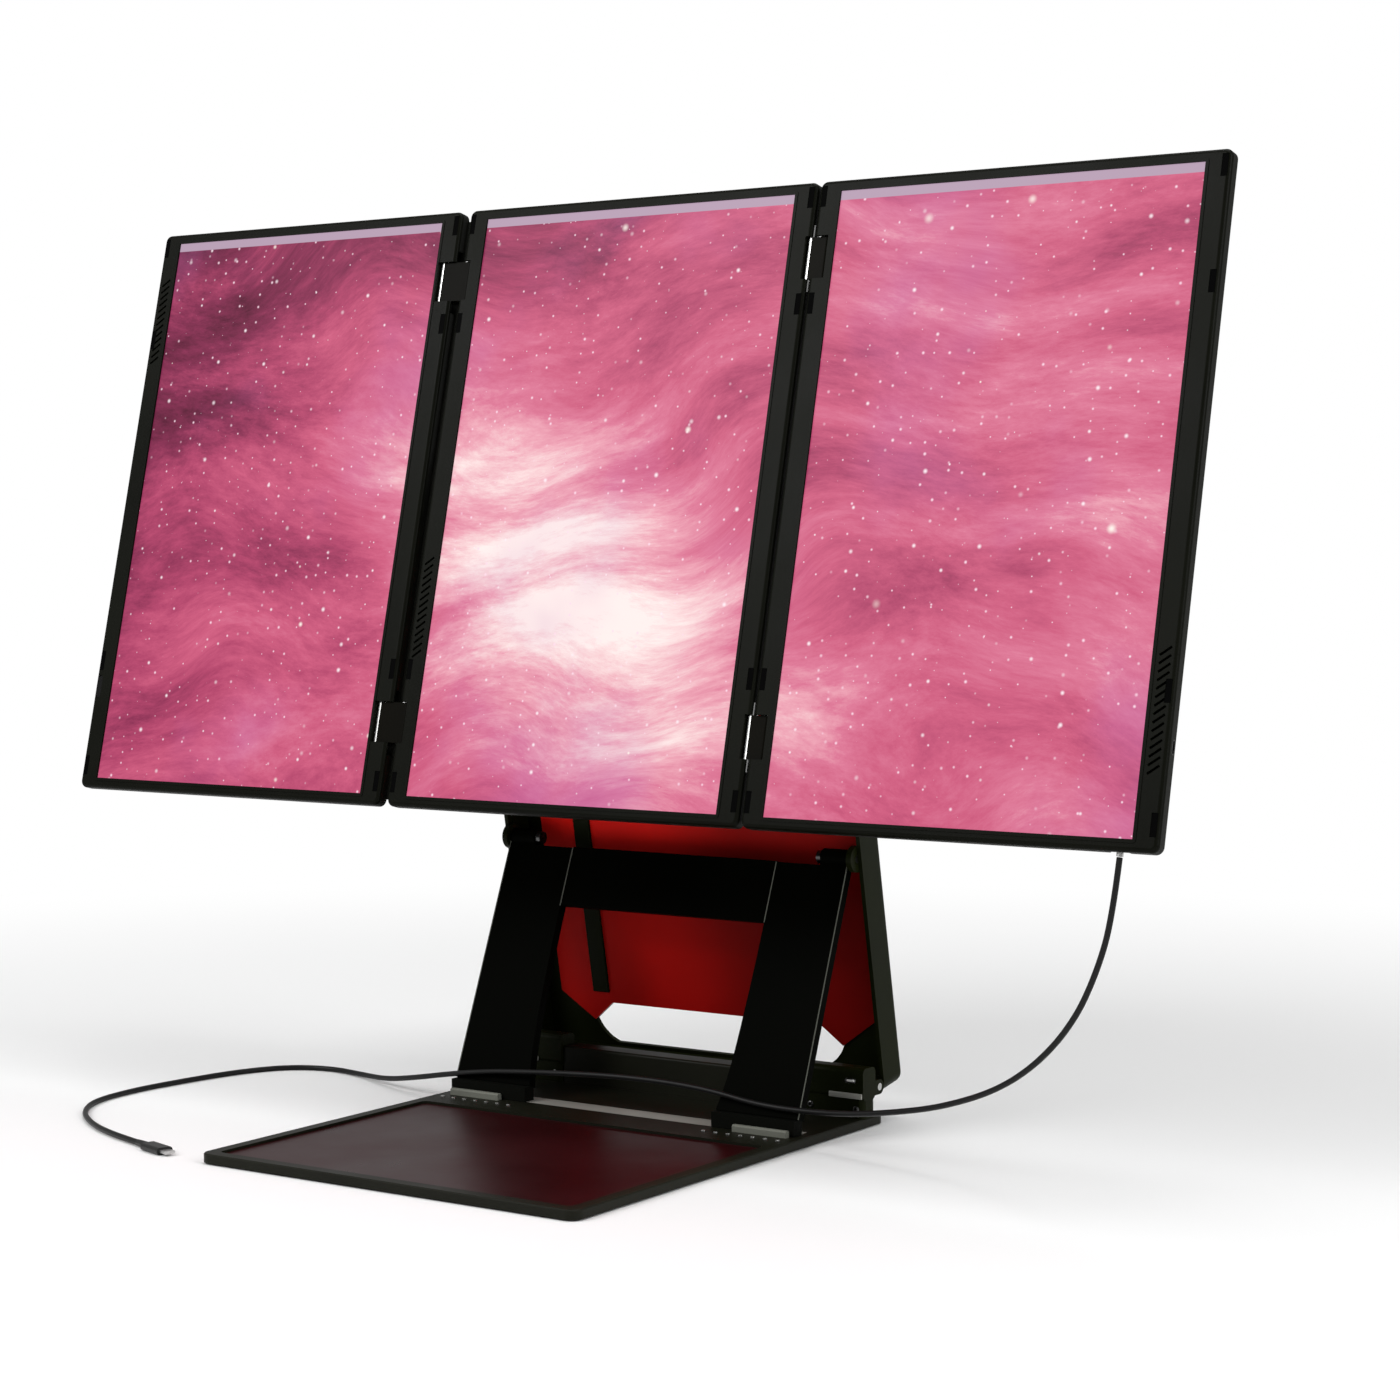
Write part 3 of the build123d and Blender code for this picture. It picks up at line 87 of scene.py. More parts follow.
cable_line.points.add(len(CABLE_POINTS) - 1)
for point, place in zip(cable_line.points, CABLE_POINTS):
    point.co = (*place, 1)
    point.radius = CABLE_RADIUS
cable_line.order_u = 3
cable_line.use_endpoint_u = True
cable_line.resolution_u = 8
cable_curve.bevel_depth = 1.0  # times each point's radius
cable_curve.bevel_resolution = 4
cable_curve.use_fill_caps = True
data_lead = bpy.data.objects.new("data_lead", cable_curve)
bpy.context.scene.collection.objects.link(data_lead)
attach(data_lead, "root")
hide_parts("data_cable")


# ---------------------------------------------------------- shared shader groups
def new_group(name, inputs, outputs):
    """Empty shader group with named sockets: inputs are (name, type, default)."""
    group = bpy.data.node_groups.new(name, "ShaderNodeTree")
    for label, kind, value in inputs:
        socket = group.interface.new_socket(label, in_out="INPUT", socket_type=f"NodeSocket{kind}")
        if value is not None:
            socket.default_value = value
    for label, kind in outputs:
        group.interface.new_socket(label, in_out="OUTPUT", socket_type=f"NodeSocket{kind}")
    return group, group.nodes.new("NodeGroupInput"), group.nodes.new("NodeGroupOutput")


def add(tree, kind, **settings):
    """New node with its properties and, by socket name or number, its input values."""
    node = tree.nodes.new(f"ShaderNode{kind}")
    for key, value in settings.items():
        if key == "values":
            for socket, number in value.items():
                node.inputs[socket].default_value = number
        else:
            setattr(node, key, value)
    return node


def smooth_step(tree, source, low, high, floor=0.0, top=1.0):
    """Value eased from floor to top while the source goes from low to high."""
    ease = add(tree, "MapRange", interpolation_type="SMOOTHSTEP",
               values={"From Min": low, "From Max": high, "To Min": floor, "To Max": top})
    tree.links.new(source, ease.inputs["Value"])
    return ease.outputs["Result"]


def combined(tree, operation, first, second):
    """Two values joined by one Math operation."""
    node = add(tree, "Math", operation=operation)
    tree.links.new(first, node.inputs[0])
    tree.links.new(second, node.inputs[1])
    return node.outputs["Value"]


def object_axes(tree):
    """X, Y and Z of the point being shaded, in metres."""
    place = add(tree, "TexCoord")
    axes = add(tree, "SeparateXYZ")
    tree.links.new(place.outputs["Object"], axes.inputs["Vector"])
    return axes.outputs


def build_grain_group():
    """Moulded or painted surface: fine grain bump, cloudy gloss and faint colour drift."""
    group, inlet, outlet = new_group(
        "surface_grain",
        [("Colour", "Color", (0.02, 0.02, 0.02, 1)), ("Drift", "Float", 0.25),
         ("Grain scale", "Float", 900.0), ("Grain depth", "Float", 0.2),
         ("Gloss low", "Float", 0.38), ("Gloss high", "Float", 0.52)],
        [("Colour", "Color"), ("Roughness", "Float"), ("Height", "Float")],
    )
    link = group.links.new
    place = add(group, "TexCoord")
    fine = add(group, "TexNoise", values={"Detail": 3.0, "Roughness": 0.6})
    link(place.outputs["Object"], fine.inputs["Vector"])
    link(inlet.outputs["Grain scale"], fine.inputs["Scale"])
    cloud = add(group, "TexNoise", values={"Scale": 9.0, "Detail": 4.0, "Roughness": 0.55})
    link(place.outputs["Object"], cloud.inputs["Vector"])
    gloss = add(group, "MapRange", values={"From Min": 0.3, "From Max": 0.7})
    link(cloud.outputs["Fac"], gloss.inputs["Value"])
    link(inlet.outputs["Gloss low"], gloss.inputs["To Min"])
    link(inlet.outputs["Gloss high"], gloss.inputs["To Max"])
    link(gloss.outputs["Result"], outlet.inputs["Roughness"])
    swing = add(group, "MapRange", values={"From Min": 0.3, "From Max": 0.7, "To Min": -1.0, "To Max": 1.0})
    link(cloud.outputs["Fac"], swing.inputs["Value"])
    amount = add(group, "Math", operation="MULTIPLY_ADD", values={2: 1.0})
    link(swing.outputs["Result"], amount.inputs[0])
    link(inlet.outputs["Drift"], amount.inputs[1])
    tint = add(group, "VectorMath", operation="SCALE")
    link(inlet.outputs["Colour"], tint.inputs[0])
    link(amount.outputs["Value"], tint.inputs["Scale"])
    link(tint.outputs["Vector"], outlet.inputs["Colour"])
    depth = combined(group, "MULTIPLY", fine.outputs["Fac"], inlet.outputs["Grain depth"])
    link(depth, outlet.inputs["Height"])
    return group


def build_brush_group():
    """Drawn or turned metal: long fine scratches along one direction."""
    group, inlet, outlet = new_group(
        "brushed_lines",
        [("Stretch", "Vector", (40.0, 900.0, 900.0)), ("Gloss low", "Float", 0.2),
         ("Gloss high", "Float", 0.4), ("Depth", "Float", 0.15)],
        [("Roughness", "Float"), ("Height", "Float")],
    )
    link = group.links.new
    place = add(group, "TexCoord")
    stretched = add(group, "VectorMath", operation="MULTIPLY")
    link(place.outputs["Object"], stretched.inputs[0])
    link(inlet.outputs["Stretch"], stretched.inputs[1])
    lines = add(group, "TexNoise", values={"Scale": 1.0, "Detail": 3.0})
    link(stretched.outputs["Vector"], lines.inputs["Vector"])
    gloss = add(group, "MapRange", values={"From Min": 0.3, "From Max": 0.7})
    link(lines.outputs["Fac"], gloss.inputs["Value"])
    link(inlet.outputs["Gloss low"], gloss.inputs["To Min"])
    link(inlet.outputs["Gloss high"], gloss.inputs["To Max"])
    link(gloss.outputs["Result"], outlet.inputs["Roughness"])
    depth = combined(group, "MULTIPLY", lines.outputs["Fac"], inlet.outputs["Depth"])
    link(depth, outlet.inputs["Height"])
    return group


GRAIN = build_grain_group()
BRUSH = build_brush_group()
GRAIN_BUMP = (0.6, 0.0004)  # strength and distance
BRUSH_BUMP = (0.4, 0.0002)


def new_material(name):
    material = bpy.data.materials.new(name)
    material.use_nodes = True
    return material, material.node_tree, material.node_tree.nodes["Principled BSDF"]


def bump_into(tree, shader, height, strength, distance):
    """Bump node from a height output to the shader's normal."""
    bump = add(tree, "Bump", values={"Strength": strength, "Distance": distance})
    tree.links.new(height, bump.inputs["Height"])
    tree.links.new(bump.outputs["Normal"], shader.inputs["Normal"])


def grained(name, colour, gloss, drift=0.25, scale=900.0, depth=0.2, specular=0.5):
    """Moulded plastic, rubber or paint, from the grain group."""
    material, tree, shader = new_material(name)
    grain = tree.nodes.new("ShaderNodeGroup")
    grain.node_tree = GRAIN
    for label, value in (
        ("Colour", (*colour, 1)), ("Drift", drift), ("Grain scale", scale),
        ("Grain depth", depth), ("Gloss low", gloss[0]), ("Gloss high", gloss[1]),
    ):
        grain.inputs[label].default_value = value
    tree.links.new(grain.outputs["Colour"], shader.inputs["Base Color"])
    tree.links.new(grain.outputs["Roughness"], shader.inputs["Roughness"])
    bump_into(tree, shader, grain.outputs["Height"], *GRAIN_BUMP)
    shader.inputs["Specular IOR Level"].default_value = specular
    return material


def brushed(name, colour, gloss, stretch=(40.0, 900.0, 900.0)):
    """Bare metal with drawn lines."""
    material, tree, shader = new_material(name)
    lines = tree.nodes.new("ShaderNodeGroup")
    lines.node_tree = BRUSH
    lines.inputs["Stretch"].default_value = stretch
    lines.inputs["Gloss low"].default_value = gloss[0]
    lines.inputs["Gloss high"].default_value = gloss[1]
    shader.inputs["Base Color"].default_value = (*colour, 1)
    shader.inputs["Metallic"].default_value = 1.0
    tree.links.new(lines.outputs["Roughness"], shader.inputs["Roughness"])
    bump_into(tree, shader, lines.outputs["Height"], *BRUSH_BUMP)
    return material


# ----------------------------------------------------------------- screen picture
def tinted(group, share, under, colour):
    """Colour laid over another by a share from 0 to 1."""
    mix = add(group, "Mix", data_type="RGBA", values={7: colour})
    group.links.new(share, mix.inputs[0])
    group.links.new(under, mix.inputs[6])
    return mix.outputs[2]


FOLD_LAYERS = (  # node, its values, laid along the folds or not, share of the whole
    ("TexWave", {"Scale": 2.3, "Distortion": 4.0, "Detail": 4.0,
                 "Detail Scale": 2.4, "Detail Roughness": 0.62}, True, 0.13),
    ("TexNoise", {"Scale": 9.0, "Detail": 10.0, "Roughness": 0.68}, True, 0.40),
    ("TexNoise", {"Scale": 52.0, "Detail": 8.0, "Roughness": 0.78}, True, 0.46),
    ("TexNoise", {"Scale": 3.6, "Detail": 4.0, "Roughness": 0.5}, False, 0.42),
)
SHEENS = (  # middle, turn in degrees, reach, strength
    ((-0.020, -0.055, 0), -36, (0.27, 0.120, 1.0), 0.42),
    ((0.290, 0.090, 0), -38, (0.21, 0.060, 1.0), 0.14),
    ((-0.300, -0.120, 0), -30, (0.17, 0.060, 1.0), 0.10),
)
DARKEST = (0.10, (0.075, 0.008, 0.026, 1))
PALEST = (1.0, (1.0, 0.86, 0.84, 1))
SHADES_BETWEEN = (
    (0.28, (0.24, 0.028, 0.085)), (0.42, (0.45, 0.062, 0.150)), (0.55, (0.62, 0.110, 0.215)),
    (0.68, (0.72, 0.19, 0.31)), (0.80, (0.85, 0.38, 0.47)), (0.91, (0.94, 0.66, 0.68)),
)
SPECKS = (  # cells to the metre, share left empty, size in its cell, colour
    (105.0, 0.42, 0.17, (1.0, 0.72, 0.84, 1)), (44.0, 0.45, 0.105, (1.0, 0.86, 0.92, 1)),
    (13.0, 0.55, 0.060, (1.0, 0.90, 0.84, 1)),
)
VIOLET = (0.52, 0.17, 0.44, 1)
BAR_COLOUR = (0.47, 0.34, 0.45, 1)
BAR_EDGE = (0.1976, 0.1979)  # height over the panel's middle


def build_picture_group():
    """Rose silk folds with a pale sheen and a sprinkle of light specks, over all three screens."""
    group, inlet, outlet = new_group("screen_picture", [], [("Colour", "Color")])
    link = group.links.new
    place = add(group, "TexCoord")
    centred = add(group, "Mapping", vector_type="TEXTURE")
    centred.inputs["Location"].default_value = FACE
    centred.inputs["Rotation"].default_value = (pi / 2 - LEAN_BACK, 0, 0)
    link(place.outputs["Object"], centred.inputs["Vector"])
    flat = add(group, "VectorMath", operation="MULTIPLY", values={1: (1, 1, 0)})
    link(centred.outputs["Vector"], flat.inputs[0])
    # broad lazy bend shared by the folds
    bend = add(group, "TexNoise", values={"Scale": 2.4, "Detail": 2.0, "Roughness": 0.5})
    link(flat.outputs["Vector"], bend.inputs["Vector"])
    bend_amount = add(group, "VectorMath", operation="SCALE", values={"Scale": 0.36})
    link(bend.outputs["Color"], bend_amount.inputs[0])
    bent = add(group, "VectorMath", operation="ADD")
    link(flat.outputs["Vector"], bent.inputs[0])
    link(bend_amount.outputs["Vector"], bent.inputs[1])
    # folds that fall from the upper left to the lower right
    turned = add(group, "Mapping", values={"Rotation": (0, 0, radians(-38)), "Scale": (0.5, 1.9, 1.0)})
    link(bent.outputs["Vector"], turned.inputs["Vector"])
    level_now = None
    for kind, settings, folded, share in FOLD_LAYERS:
        layer = add(group, kind, values=settings)
        if kind == "TexWave":
            layer.wave_type, layer.bands_direction, layer.wave_profile = "BANDS", "Y", "SIN"
        link((turned if folded else flat).outputs["Vector"], layer.inputs["Vector"])
        part = add(group, "Math", operation="MULTIPLY_ADD", values={1: share, 2: -0.5 * share})
        link(layer.outputs["Fac"], part.inputs[0])
        if level_now is None:
            level_now = part.outputs["Value"]
        else:
            level_now = combined(group, "ADD", part.outputs["Value"], level_now)
    # darker towards the upper left corner
    slope = add(group, "VectorMath", operation="DOT_PRODUCT", values={1: (0.62, -0.78, 0)})
    link(flat.outputs["Vector"], slope.inputs[0])
    shade = smooth_step(group, slope.outputs["Value"], -0.46, 0.04, 0.21, 0.53)
    level_now = combined(group, "ADD", level_now, shade)
    # pale sheens: a broad one on the middle screen, faint ones on the others
    for spot, tilt, reach, strength in SHEENS:
        aim = add(group, "Mapping", vector_type="TEXTURE",
                  values={"Location": spot, "Rotation": (0, 0, radians(tilt)), "Scale": reach})
        link(flat.outputs["Vector"], aim.inputs["Vector"])
        ring = add(group, "VectorMath", operation="LENGTH")
        link(aim.outputs["Vector"], ring.inputs[0])
        sheen = smooth_step(group, ring.outputs["Value"], 1.5, 0.0, 0.0, strength)
        level_now = combined(group, "ADD", level_now, sheen)
    shades = add(group, "ValToRGB")
    ramp = shades.color_ramp
    for element, (position, colour) in zip(ramp.elements, (DARKEST, PALEST)):
        element.position, element.color = position, colour
    for position, colour in SHADES_BETWEEN:
        ramp.elements.new(position).color = (*colour, 1)
    link(level_now, shades.inputs["Fac"])
    # a violet cast that comes and goes
    cast = add(group, "TexNoise", values={"Scale": 4.4, "Detail": 4.0})
    shifted = add(group, "VectorMath", operation="ADD", values={1: (4.0, 2.0, 0)})
    link(flat.outputs["Vector"], shifted.inputs[0])
    link(shifted.outputs["Vector"], cast.inputs["Vector"])
    picture = tinted(group, smooth_step(group, cast.outputs["Fac"], 0.50, 0.70, 0.0, 0.38),
                     shades.outputs["Color"], VIOLET)
    # light specks of differing size
    for scale, least, reach, tone in SPECKS:
        cells = add(group, "TexVoronoi", voronoi_dimensions="2D", values={"Scale": scale})
        link(flat.outputs["Vector"], cells.inputs["Vector"])
        pick = add(group, "SeparateColor")
        link(cells.outputs["Color"], pick.inputs["Color"])
        size = add(group, "MapRange",
                   values={"From Min": least, "From Max": 1.0, "To Min": 0.0, "To Max": reach})
        link(pick.outputs["Red"], size.inputs["Value"])
        speck = add(group, "MapRange", interpolation_type="SMOOTHSTEP",
                    values={"From Min": 0.0, "To Min": 1.0, "To Max": 0.0})
        link(cells.outputs["Distance"], speck.inputs["Value"])
        link(size.outputs["Result"], speck.inputs["From Max"])
        brightness = smooth_step(group, pick.outputs["Green"], 0.0, 0.8, 0.30, 1.0)
        faint = combined(group, "MULTIPLY", speck.outputs["Result"], brightness)
        picture = tinted(group, faint, picture, tone)
    # plain pale bar along the top edge
    height = add(group, "SeparateXYZ")
    link(flat.outputs["Vector"], height.inputs["Vector"])
    top_bar = add(group, "MapRange", values={"From Min": BAR_EDGE[0], "From Max": BAR_EDGE[1]})
    link(height.outputs["Y"], top_bar.inputs["Value"])
    link(tinted(group, top_bar.outputs["Result"], picture, BAR_COLOUR), outlet.inputs["Colour"])
    return group


def bare_where(tree, shader, mask, metal):
    """Bare metal instead of the shader's own colour where the mask is 1."""
    tree.links.new(mask, shader.inputs["Metallic"])
    own = shader.inputs["Base Color"].links[0].from_socket
    tree.links.new(tinted(tree, mask, own, metal), shader.inputs["Base Color"])


def screen_material():
    material, tree, shader = new_material("lit_screen")
    picture = tree.nodes.new("ShaderNodeGroup")
    picture.node_tree = build_picture_group()
    dimmed = add(tree, "VectorMath", operation="SCALE", values={"Scale": 0.02})
    tree.links.new(picture.outputs["Colour"], dimmed.inputs[0])
    tree.links.new(dimmed.outputs["Vector"], shader.inputs["Base Color"])
    tree.links.new(picture.outputs["Colour"], shader.inputs["Emission Color"])
    shader.inputs["Emission Strength"].default_value = 1.0
    shader.inputs["Roughness"].default_value = 0.30
    shader.inputs["Specular IOR Level"].default_value = 0.06
    return material


TONGUE_STEEL = (0.55, 0.55, 0.54, 1)
# steel of the hinge links' left ends, partly a painted highlight
HIGHLIGHT_STEEL = (0.92, 0.92, 0.90, 1)
# each link's bare strip is partly a painted highlight of its rounded end
LEFT_HIGHLIGHT_EDGE, RIGHT_HIGHLIGHT_EDGE = -0.1626, 0.1431  # right end of each link's bare strip
RED_SHADE_SPAN = (-0.05, 0.05)  # across the stand
RED_SHADE = 0.40
RED_LIFT_SPAN = (0.15, 0.20)  # height
RED_LIFT = 1.9


def plug_material():
    """Moulded plug grip with a bare metal tongue at its front."""
    material = grained("plug_plastic", (0.0085, 0.0085, 0.0085), (0.32, 0.44),
                       scale=1400.0, depth=0.25, specular=0.3)
    tree = material.node_tree
    shader = tree.nodes["Principled BSDF"]
    place = add(tree, "TexCoord")
    from_mouth = add(tree, "VectorMath", operation="SUBTRACT", values={1: PLUG_MOUTH})
    tree.links.new(place.outputs["Object"], from_mouth.inputs[0])
    ahead = add(tree, "VectorMath", operation="DOT_PRODUCT", values={1: PLUG_HEADING})
    tree.links.new(from_mouth.outputs["Vector"], ahead.inputs[0])
    bare = add(tree, "Math", operation="GREATER_THAN", values={1: 0.0001})
    tree.links.new(ahead.outputs["Value"], bare.inputs[0])
    bare_where(tree, shader, bare.outputs["Value"], TONGUE_STEEL)
    return material


def red_material():
    """Red board, in shade towards its right side and better lit above."""
    material = grained("red_liner_face", (0.50, 0.006, 0.004), (0.42, 0.55),
                       drift=0.14, scale=700.0, depth=0.15, specular=0.06)
    tree = material.node_tree
    shader = tree.nodes["Principled BSDF"]
    axes = object_axes(tree)
    side = smooth_step(tree, axes["X"], *RED_SHADE_SPAN, 1.0, RED_SHADE)
    upper = smooth_step(tree, axes["Z"], *RED_LIFT_SPAN, 1.0, RED_LIFT)
    shaded = add(tree, "VectorMath", operation="SCALE")
    tree.links.new(shader.inputs["Base Color"].links[0].from_socket, shaded.inputs[0])
    tree.links.new(combined(tree, "MULTIPLY", side, upper), shaded.inputs["Scale"])
    tree.links.new(shaded.outputs["Vector"], shader.inputs["Base Color"])
    return material


def link_material(name, edge):
    """Black gloss plate with bare polished metal to the left of an x position: partly metal, partly a painted
    highlight where the rounded end catches the light.
    """
    material = grained(name, (0.0030, 0.0026, 0.0012), (0.34, 0.46), scale=500.0, depth=0.03, specular=0.03)
    tree = material.node_tree
    shader = tree.nodes["Principled BSDF"]
    # bare bright metal on the left end only: partly a painted highlight
    bare = add(tree, "Math", operation="LESS_THAN", values={1: edge})
    tree.links.new(object_axes(tree)["X"], bare.inputs[0])
    bare_where(tree, shader, bare.outputs["Value"], HIGHLIGHT_STEEL)
    return material


# ---------------------------------------------------------------------- materials
BEZEL_BLACK = grained("bezel_plastic", (0.0038, 0.0042, 0.0024), (0.30, 0.44),
                      scale=1500.0, depth=0.2, specular=0.045)
COVER_BLACK = grained("cover_plastic", (0.0062, 0.0066, 0.0046), (0.46, 0.60),
                      scale=1100.0, depth=0.5, specular=0.12)
SHELL_BLACK = grained("shell_plastic", (0.0070, 0.0090, 0.0022), (0.34, 0.46),
                      scale=1300.0, depth=0.25, specular=0.04)
LEG_PAINT = grained("leg_paint", (0.0012, 0.0014, 0.0008), (0.40, 0.52),
                    scale=1800.0, depth=0.15, specular=0.008)
BASE_PAINT = grained("base_paint", (0.0085, 0.0088, 0.0050), (0.34, 0.48),
                     scale=1600.0, depth=0.2, specular=0.10)
RED_PANEL = red_material()
MAROON = grained("maroon_floor", (0.022, 0.0018, 0.0026), (0.26, 0.38),
                 drift=0.2, scale=800.0, depth=0.1, specular=0.12)
RUBBER = grained("foot_rubber", (0.0025, 0.0028, 0.0018), (0.70, 0.85),
                 scale=600.0, depth=0.6, specular=0.06)
PAD_RUBBER = grained("pad_rubber", (0.0008, 0.0008, 0.0008), (0.60, 0.75),
                     scale=900.0, depth=0.4, specular=0.02)
STOP_GREY = grained("grey_stop_rubber", (0.15, 0.155, 0.13), (0.50, 0.65),
                    scale=500.0, depth=0.4, specular=0.2)
PALE_PAINT = grained("pale_strip_paint", (0.30, 0.30, 0.27), (0.36, 0.50), scale=900.0, depth=0.2)
TONGUE_PLATE = grained("plated_tongue", (0.80, 0.80, 0.77), (0.20, 0.30), scale=700.0, depth=0.05)
# painted highlight for the legs' edges
EDGE_HIGHLIGHT = grained("painted_edge_highlight", (0.080, 0.084, 0.066), (0.30, 0.42), scale=900.0, depth=0.1)
JACKET = grained("cable_rubber", (0.0055, 0.0055, 0.0055), (0.38, 0.50),
                 scale=700.0, depth=0.2, specular=0.2)
BUTTON_BLACK = grained("button_plastic", (0.0010, 0.0010, 0.0010), (0.20, 0.28),
                       scale=900.0, depth=0.05, specular=0.2)
PLUG_BLACK = plug_material()
BOARD_GREEN = grained("board_lacquer", (0.010, 0.075, 0.035), (0.22, 0.34), scale=350.0, depth=0.6)
STEEL = brushed("pin_steel", (0.55, 0.55, 0.54), (0.18, 0.34))
DARK_STEEL = brushed("dark_screw_steel", (0.10, 0.10, 0.10), (0.24, 0.38))
DISPLAY_METAL = brushed("display_tray_metal", (0.62, 0.62, 0.63), (0.30, 0.46),
                        stretch=(900.0, 900.0, 30.0))
PORT_METAL = brushed("port_metal", (0.62, 0.62, 0.63), (0.22, 0.36))
LIT_SCREEN = screen_material()
LEFT_LINK_GLOSS = link_material("left_link_gloss", LEFT_HIGHLIGHT_EDGE)
RIGHT_LINK_GLOSS = link_material("right_link_gloss", RIGHT_HIGHLIGHT_EDGE)

FINISH = {
    "base_plate": BASE_PAINT, "base_liner": MAROON, "foot_plate": PALE_PAINT,
    "base_rubber_strips": RUBBER, "rear_riser": BASE_PAINT,
    "hinge_box_left": SHELL_BLACK, "hinge_box_right": SHELL_BLACK, "hinge_box_port": PORT_METAL,
    "main_hinge_pins": STEEL, "foot_stops": STOP_GREY, "stop_rivets": STEEL, "laptop_plug": PLUG_BLACK,
    "data_cable": JACKET, "shell_tray": SHELL_BLACK, "red_liner": RED_PANEL, "liner_cover_strip": SHELL_BLACK,
    "top_beam": LEG_PAINT, "tilt_pins": STEEL, "leg_hinge_pins": DARK_STEEL, "leg_left": LEG_PAINT,
    "leg_right": LEG_PAINT, "leg_crossbar": LEG_PAINT, "leg_foot_shoes": RUBBER, "tilt_bracket": LEG_PAINT,
    "bracket_screws": STEEL, "right_ports": DARK_STEEL, "panel_plug": PLUG_BLACK,
    "left_hinge_links": LEFT_LINK_GLOSS, "right_hinge_links": RIGHT_LINK_GLOSS,
    "left_link_pins": STEEL, "right_link_pins": STEEL,
}
for side in ("left", "middle", "right"):
    FINISH.update({
        f"{side}_bezel": BEZEL_BLACK, f"{side}_rear_cover": COVER_BLACK, f"{side}_screen": LIT_SCREEN,
        f"{side}_display_module": DISPLAY_METAL, f"{side}_driver_board": BOARD_GREEN,
        f"{side}_pads": PAD_RUBBER, f"{side}_hinge_knuckles": STEEL, f"{side}_button": BUTTON_BLACK,
    })
for node, material in FINISH.items():
    slots = NODES[node].data.materials
    slots.clear()
    slots.append(material)
data_lead.data.materials.append(JACKET)


# ------------------------------------------------------------------ small fittings
SHELL_LEAN = radians(10.5)
SHELL_FOOT = Vector((0, 0.1748, 0.0205))
SHELL_UP = Vector((0, -sin(SHELL_LEAN), cos(SHELL_LEAN)))
SHELL_BACK = Vector((0, cos(SHELL_LEAN), sin(SHELL_LEAN)))
SMOOTH_BELOW = radians(35)
PANEL_CENTRES = {"left": -0.2955, "middle": 0.0, "right": 0.290}


def on_panel(side, across, up, depth):
    """Place on a panel, from the middle of its front face."""
    return FACE + Vector((PANEL_CENTRES[side] + across, 0, 0)) + PANEL_UP * up - PANEL_FRONT * depth


def standing(place, normal):
    """Matrix that turns +Z into the normal and moves to the place."""
    return Matrix.Translation(place) @ normal.to_track_quat("Z", "Y").to_matrix().to_4x4()


def finish_piece(bm, name, body, material):
    """Mesh object from a bmesh, smooth shaded by angle, riding on its body."""
    bmesh.ops.recalc_face_normals(bm, faces=bm.faces)
    mesh = bpy.data.meshes.new(name)
    for edge in bm.edges:
        edge.smooth = len(edge.link_faces) == 2 and edge.calc_face_angle() < SMOOTH_BELOW
    for face in bm.faces:
        face.smooth = True
    bm.to_mesh(mesh)
    bm.free()
    piece = bpy.data.objects.new(name, mesh)
    bpy.context.scene.collection.objects.link(piece)
    mesh.materials.append(material)
    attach(piece, body)


SCREW_PROFILE = (  # shares of the head's radius and height, from the socket's floor outwards
    (0.0, -0.35), (0.42, -0.35), (0.46, 0.86), (0.56, 0.98),
    (0.74, 0.90), (0.93, 0.62), (1.0, 0.22), (1.0, -0.3),
)
SCREW_STEPS = 24
SOCKET_REACH = 0.5


def build_screws(name, places, normal, radius, rise, body):
    """Low domed screw heads with a six-sided socket."""
    bm = bmesh.new()
    for place in places:
        matrix = standing(place, normal)
        rings = []
        for out, up in SCREW_PROFILE:
            ring = []
            for step in range(SCREW_STEPS):
                turn = 2 * pi * step / SCREW_STEPS
                reach = out
                if 0 < out < SOCKET_REACH:  # socket wall: six flats
                    part = (turn % (pi / 3)) - pi / 6
                    reach = out * cos(pi / 6) / cos(part)
                local = Vector((reach * radius * cos(turn), reach * radius * sin(turn), up * rise))
                ring.append(bm.verts.new(matrix @ local))
            rings.append(ring)
        for inner, outer in zip(rings, rings[1:]):
            for i in range(len(inner)):
                j = (i + 1) % len(inner)
                bm.faces.new((inner[i], inner[j], outer[j], outer[i]))
    bmesh.ops.remove_doubles(bm, verts=bm.verts, dist=1e-6)
    bmesh.ops.dissolve_degenerate(bm, edges=bm.edges, dist=1e-7)
    finish_piece(bm, name, body, DARK_STEEL)


def add_bar(bm, low, high, bevel, matrix=None):
    """Bevelled bar between two corners."""
    made = bmesh.ops.create_cube(bm, size=1.0)["verts"]
    span = Vector(high) - Vector(low)
    middle = (Vector(high) + Vector(low)) / 2
    bmesh.ops.scale(bm, verts=made, vec=span)
    bmesh.ops.translate(bm, verts=made, vec=middle)
    edges = list({edge for vert in made for edge in vert.link_edges})
    beveled = bmesh.ops.bevel(bm, geom=edges, offset=bevel, segments=3, profile=0.5, affect="EDGES")
    if matrix is not None:
        bmesh.ops.transform(bm, matrix=matrix, verts=list({v for f in beveled["faces"] for v in f.verts}))


SILL_ENDS = (0.1235, 0.1494)  # from the stand's middle
SILL_LOW, SILL_HIGH = (0.1447, 0.0205), (0.1462, 0.0242)  # depth and height
SILL_ROUND = 0.0005


def build_box_strips():
    """Pale sill along the lower front edge of each hinge box."""
    bm = bmesh.new()
    for sign in (-1, 1):
        near, far = sorted(sign * end for end in SILL_ENDS)
        add_bar(bm, (near, *SILL_LOW), (far, *SILL_HIGH), SILL_ROUND)
    finish_piece(bm, "hinge_box_sills", "root", PALE_PAINT)


LOOKS_ALONG = 0.98  # least agreement of a face with the wanted direction
ACROSS = 0.5  # an edge that runs more sideways than this is left bare


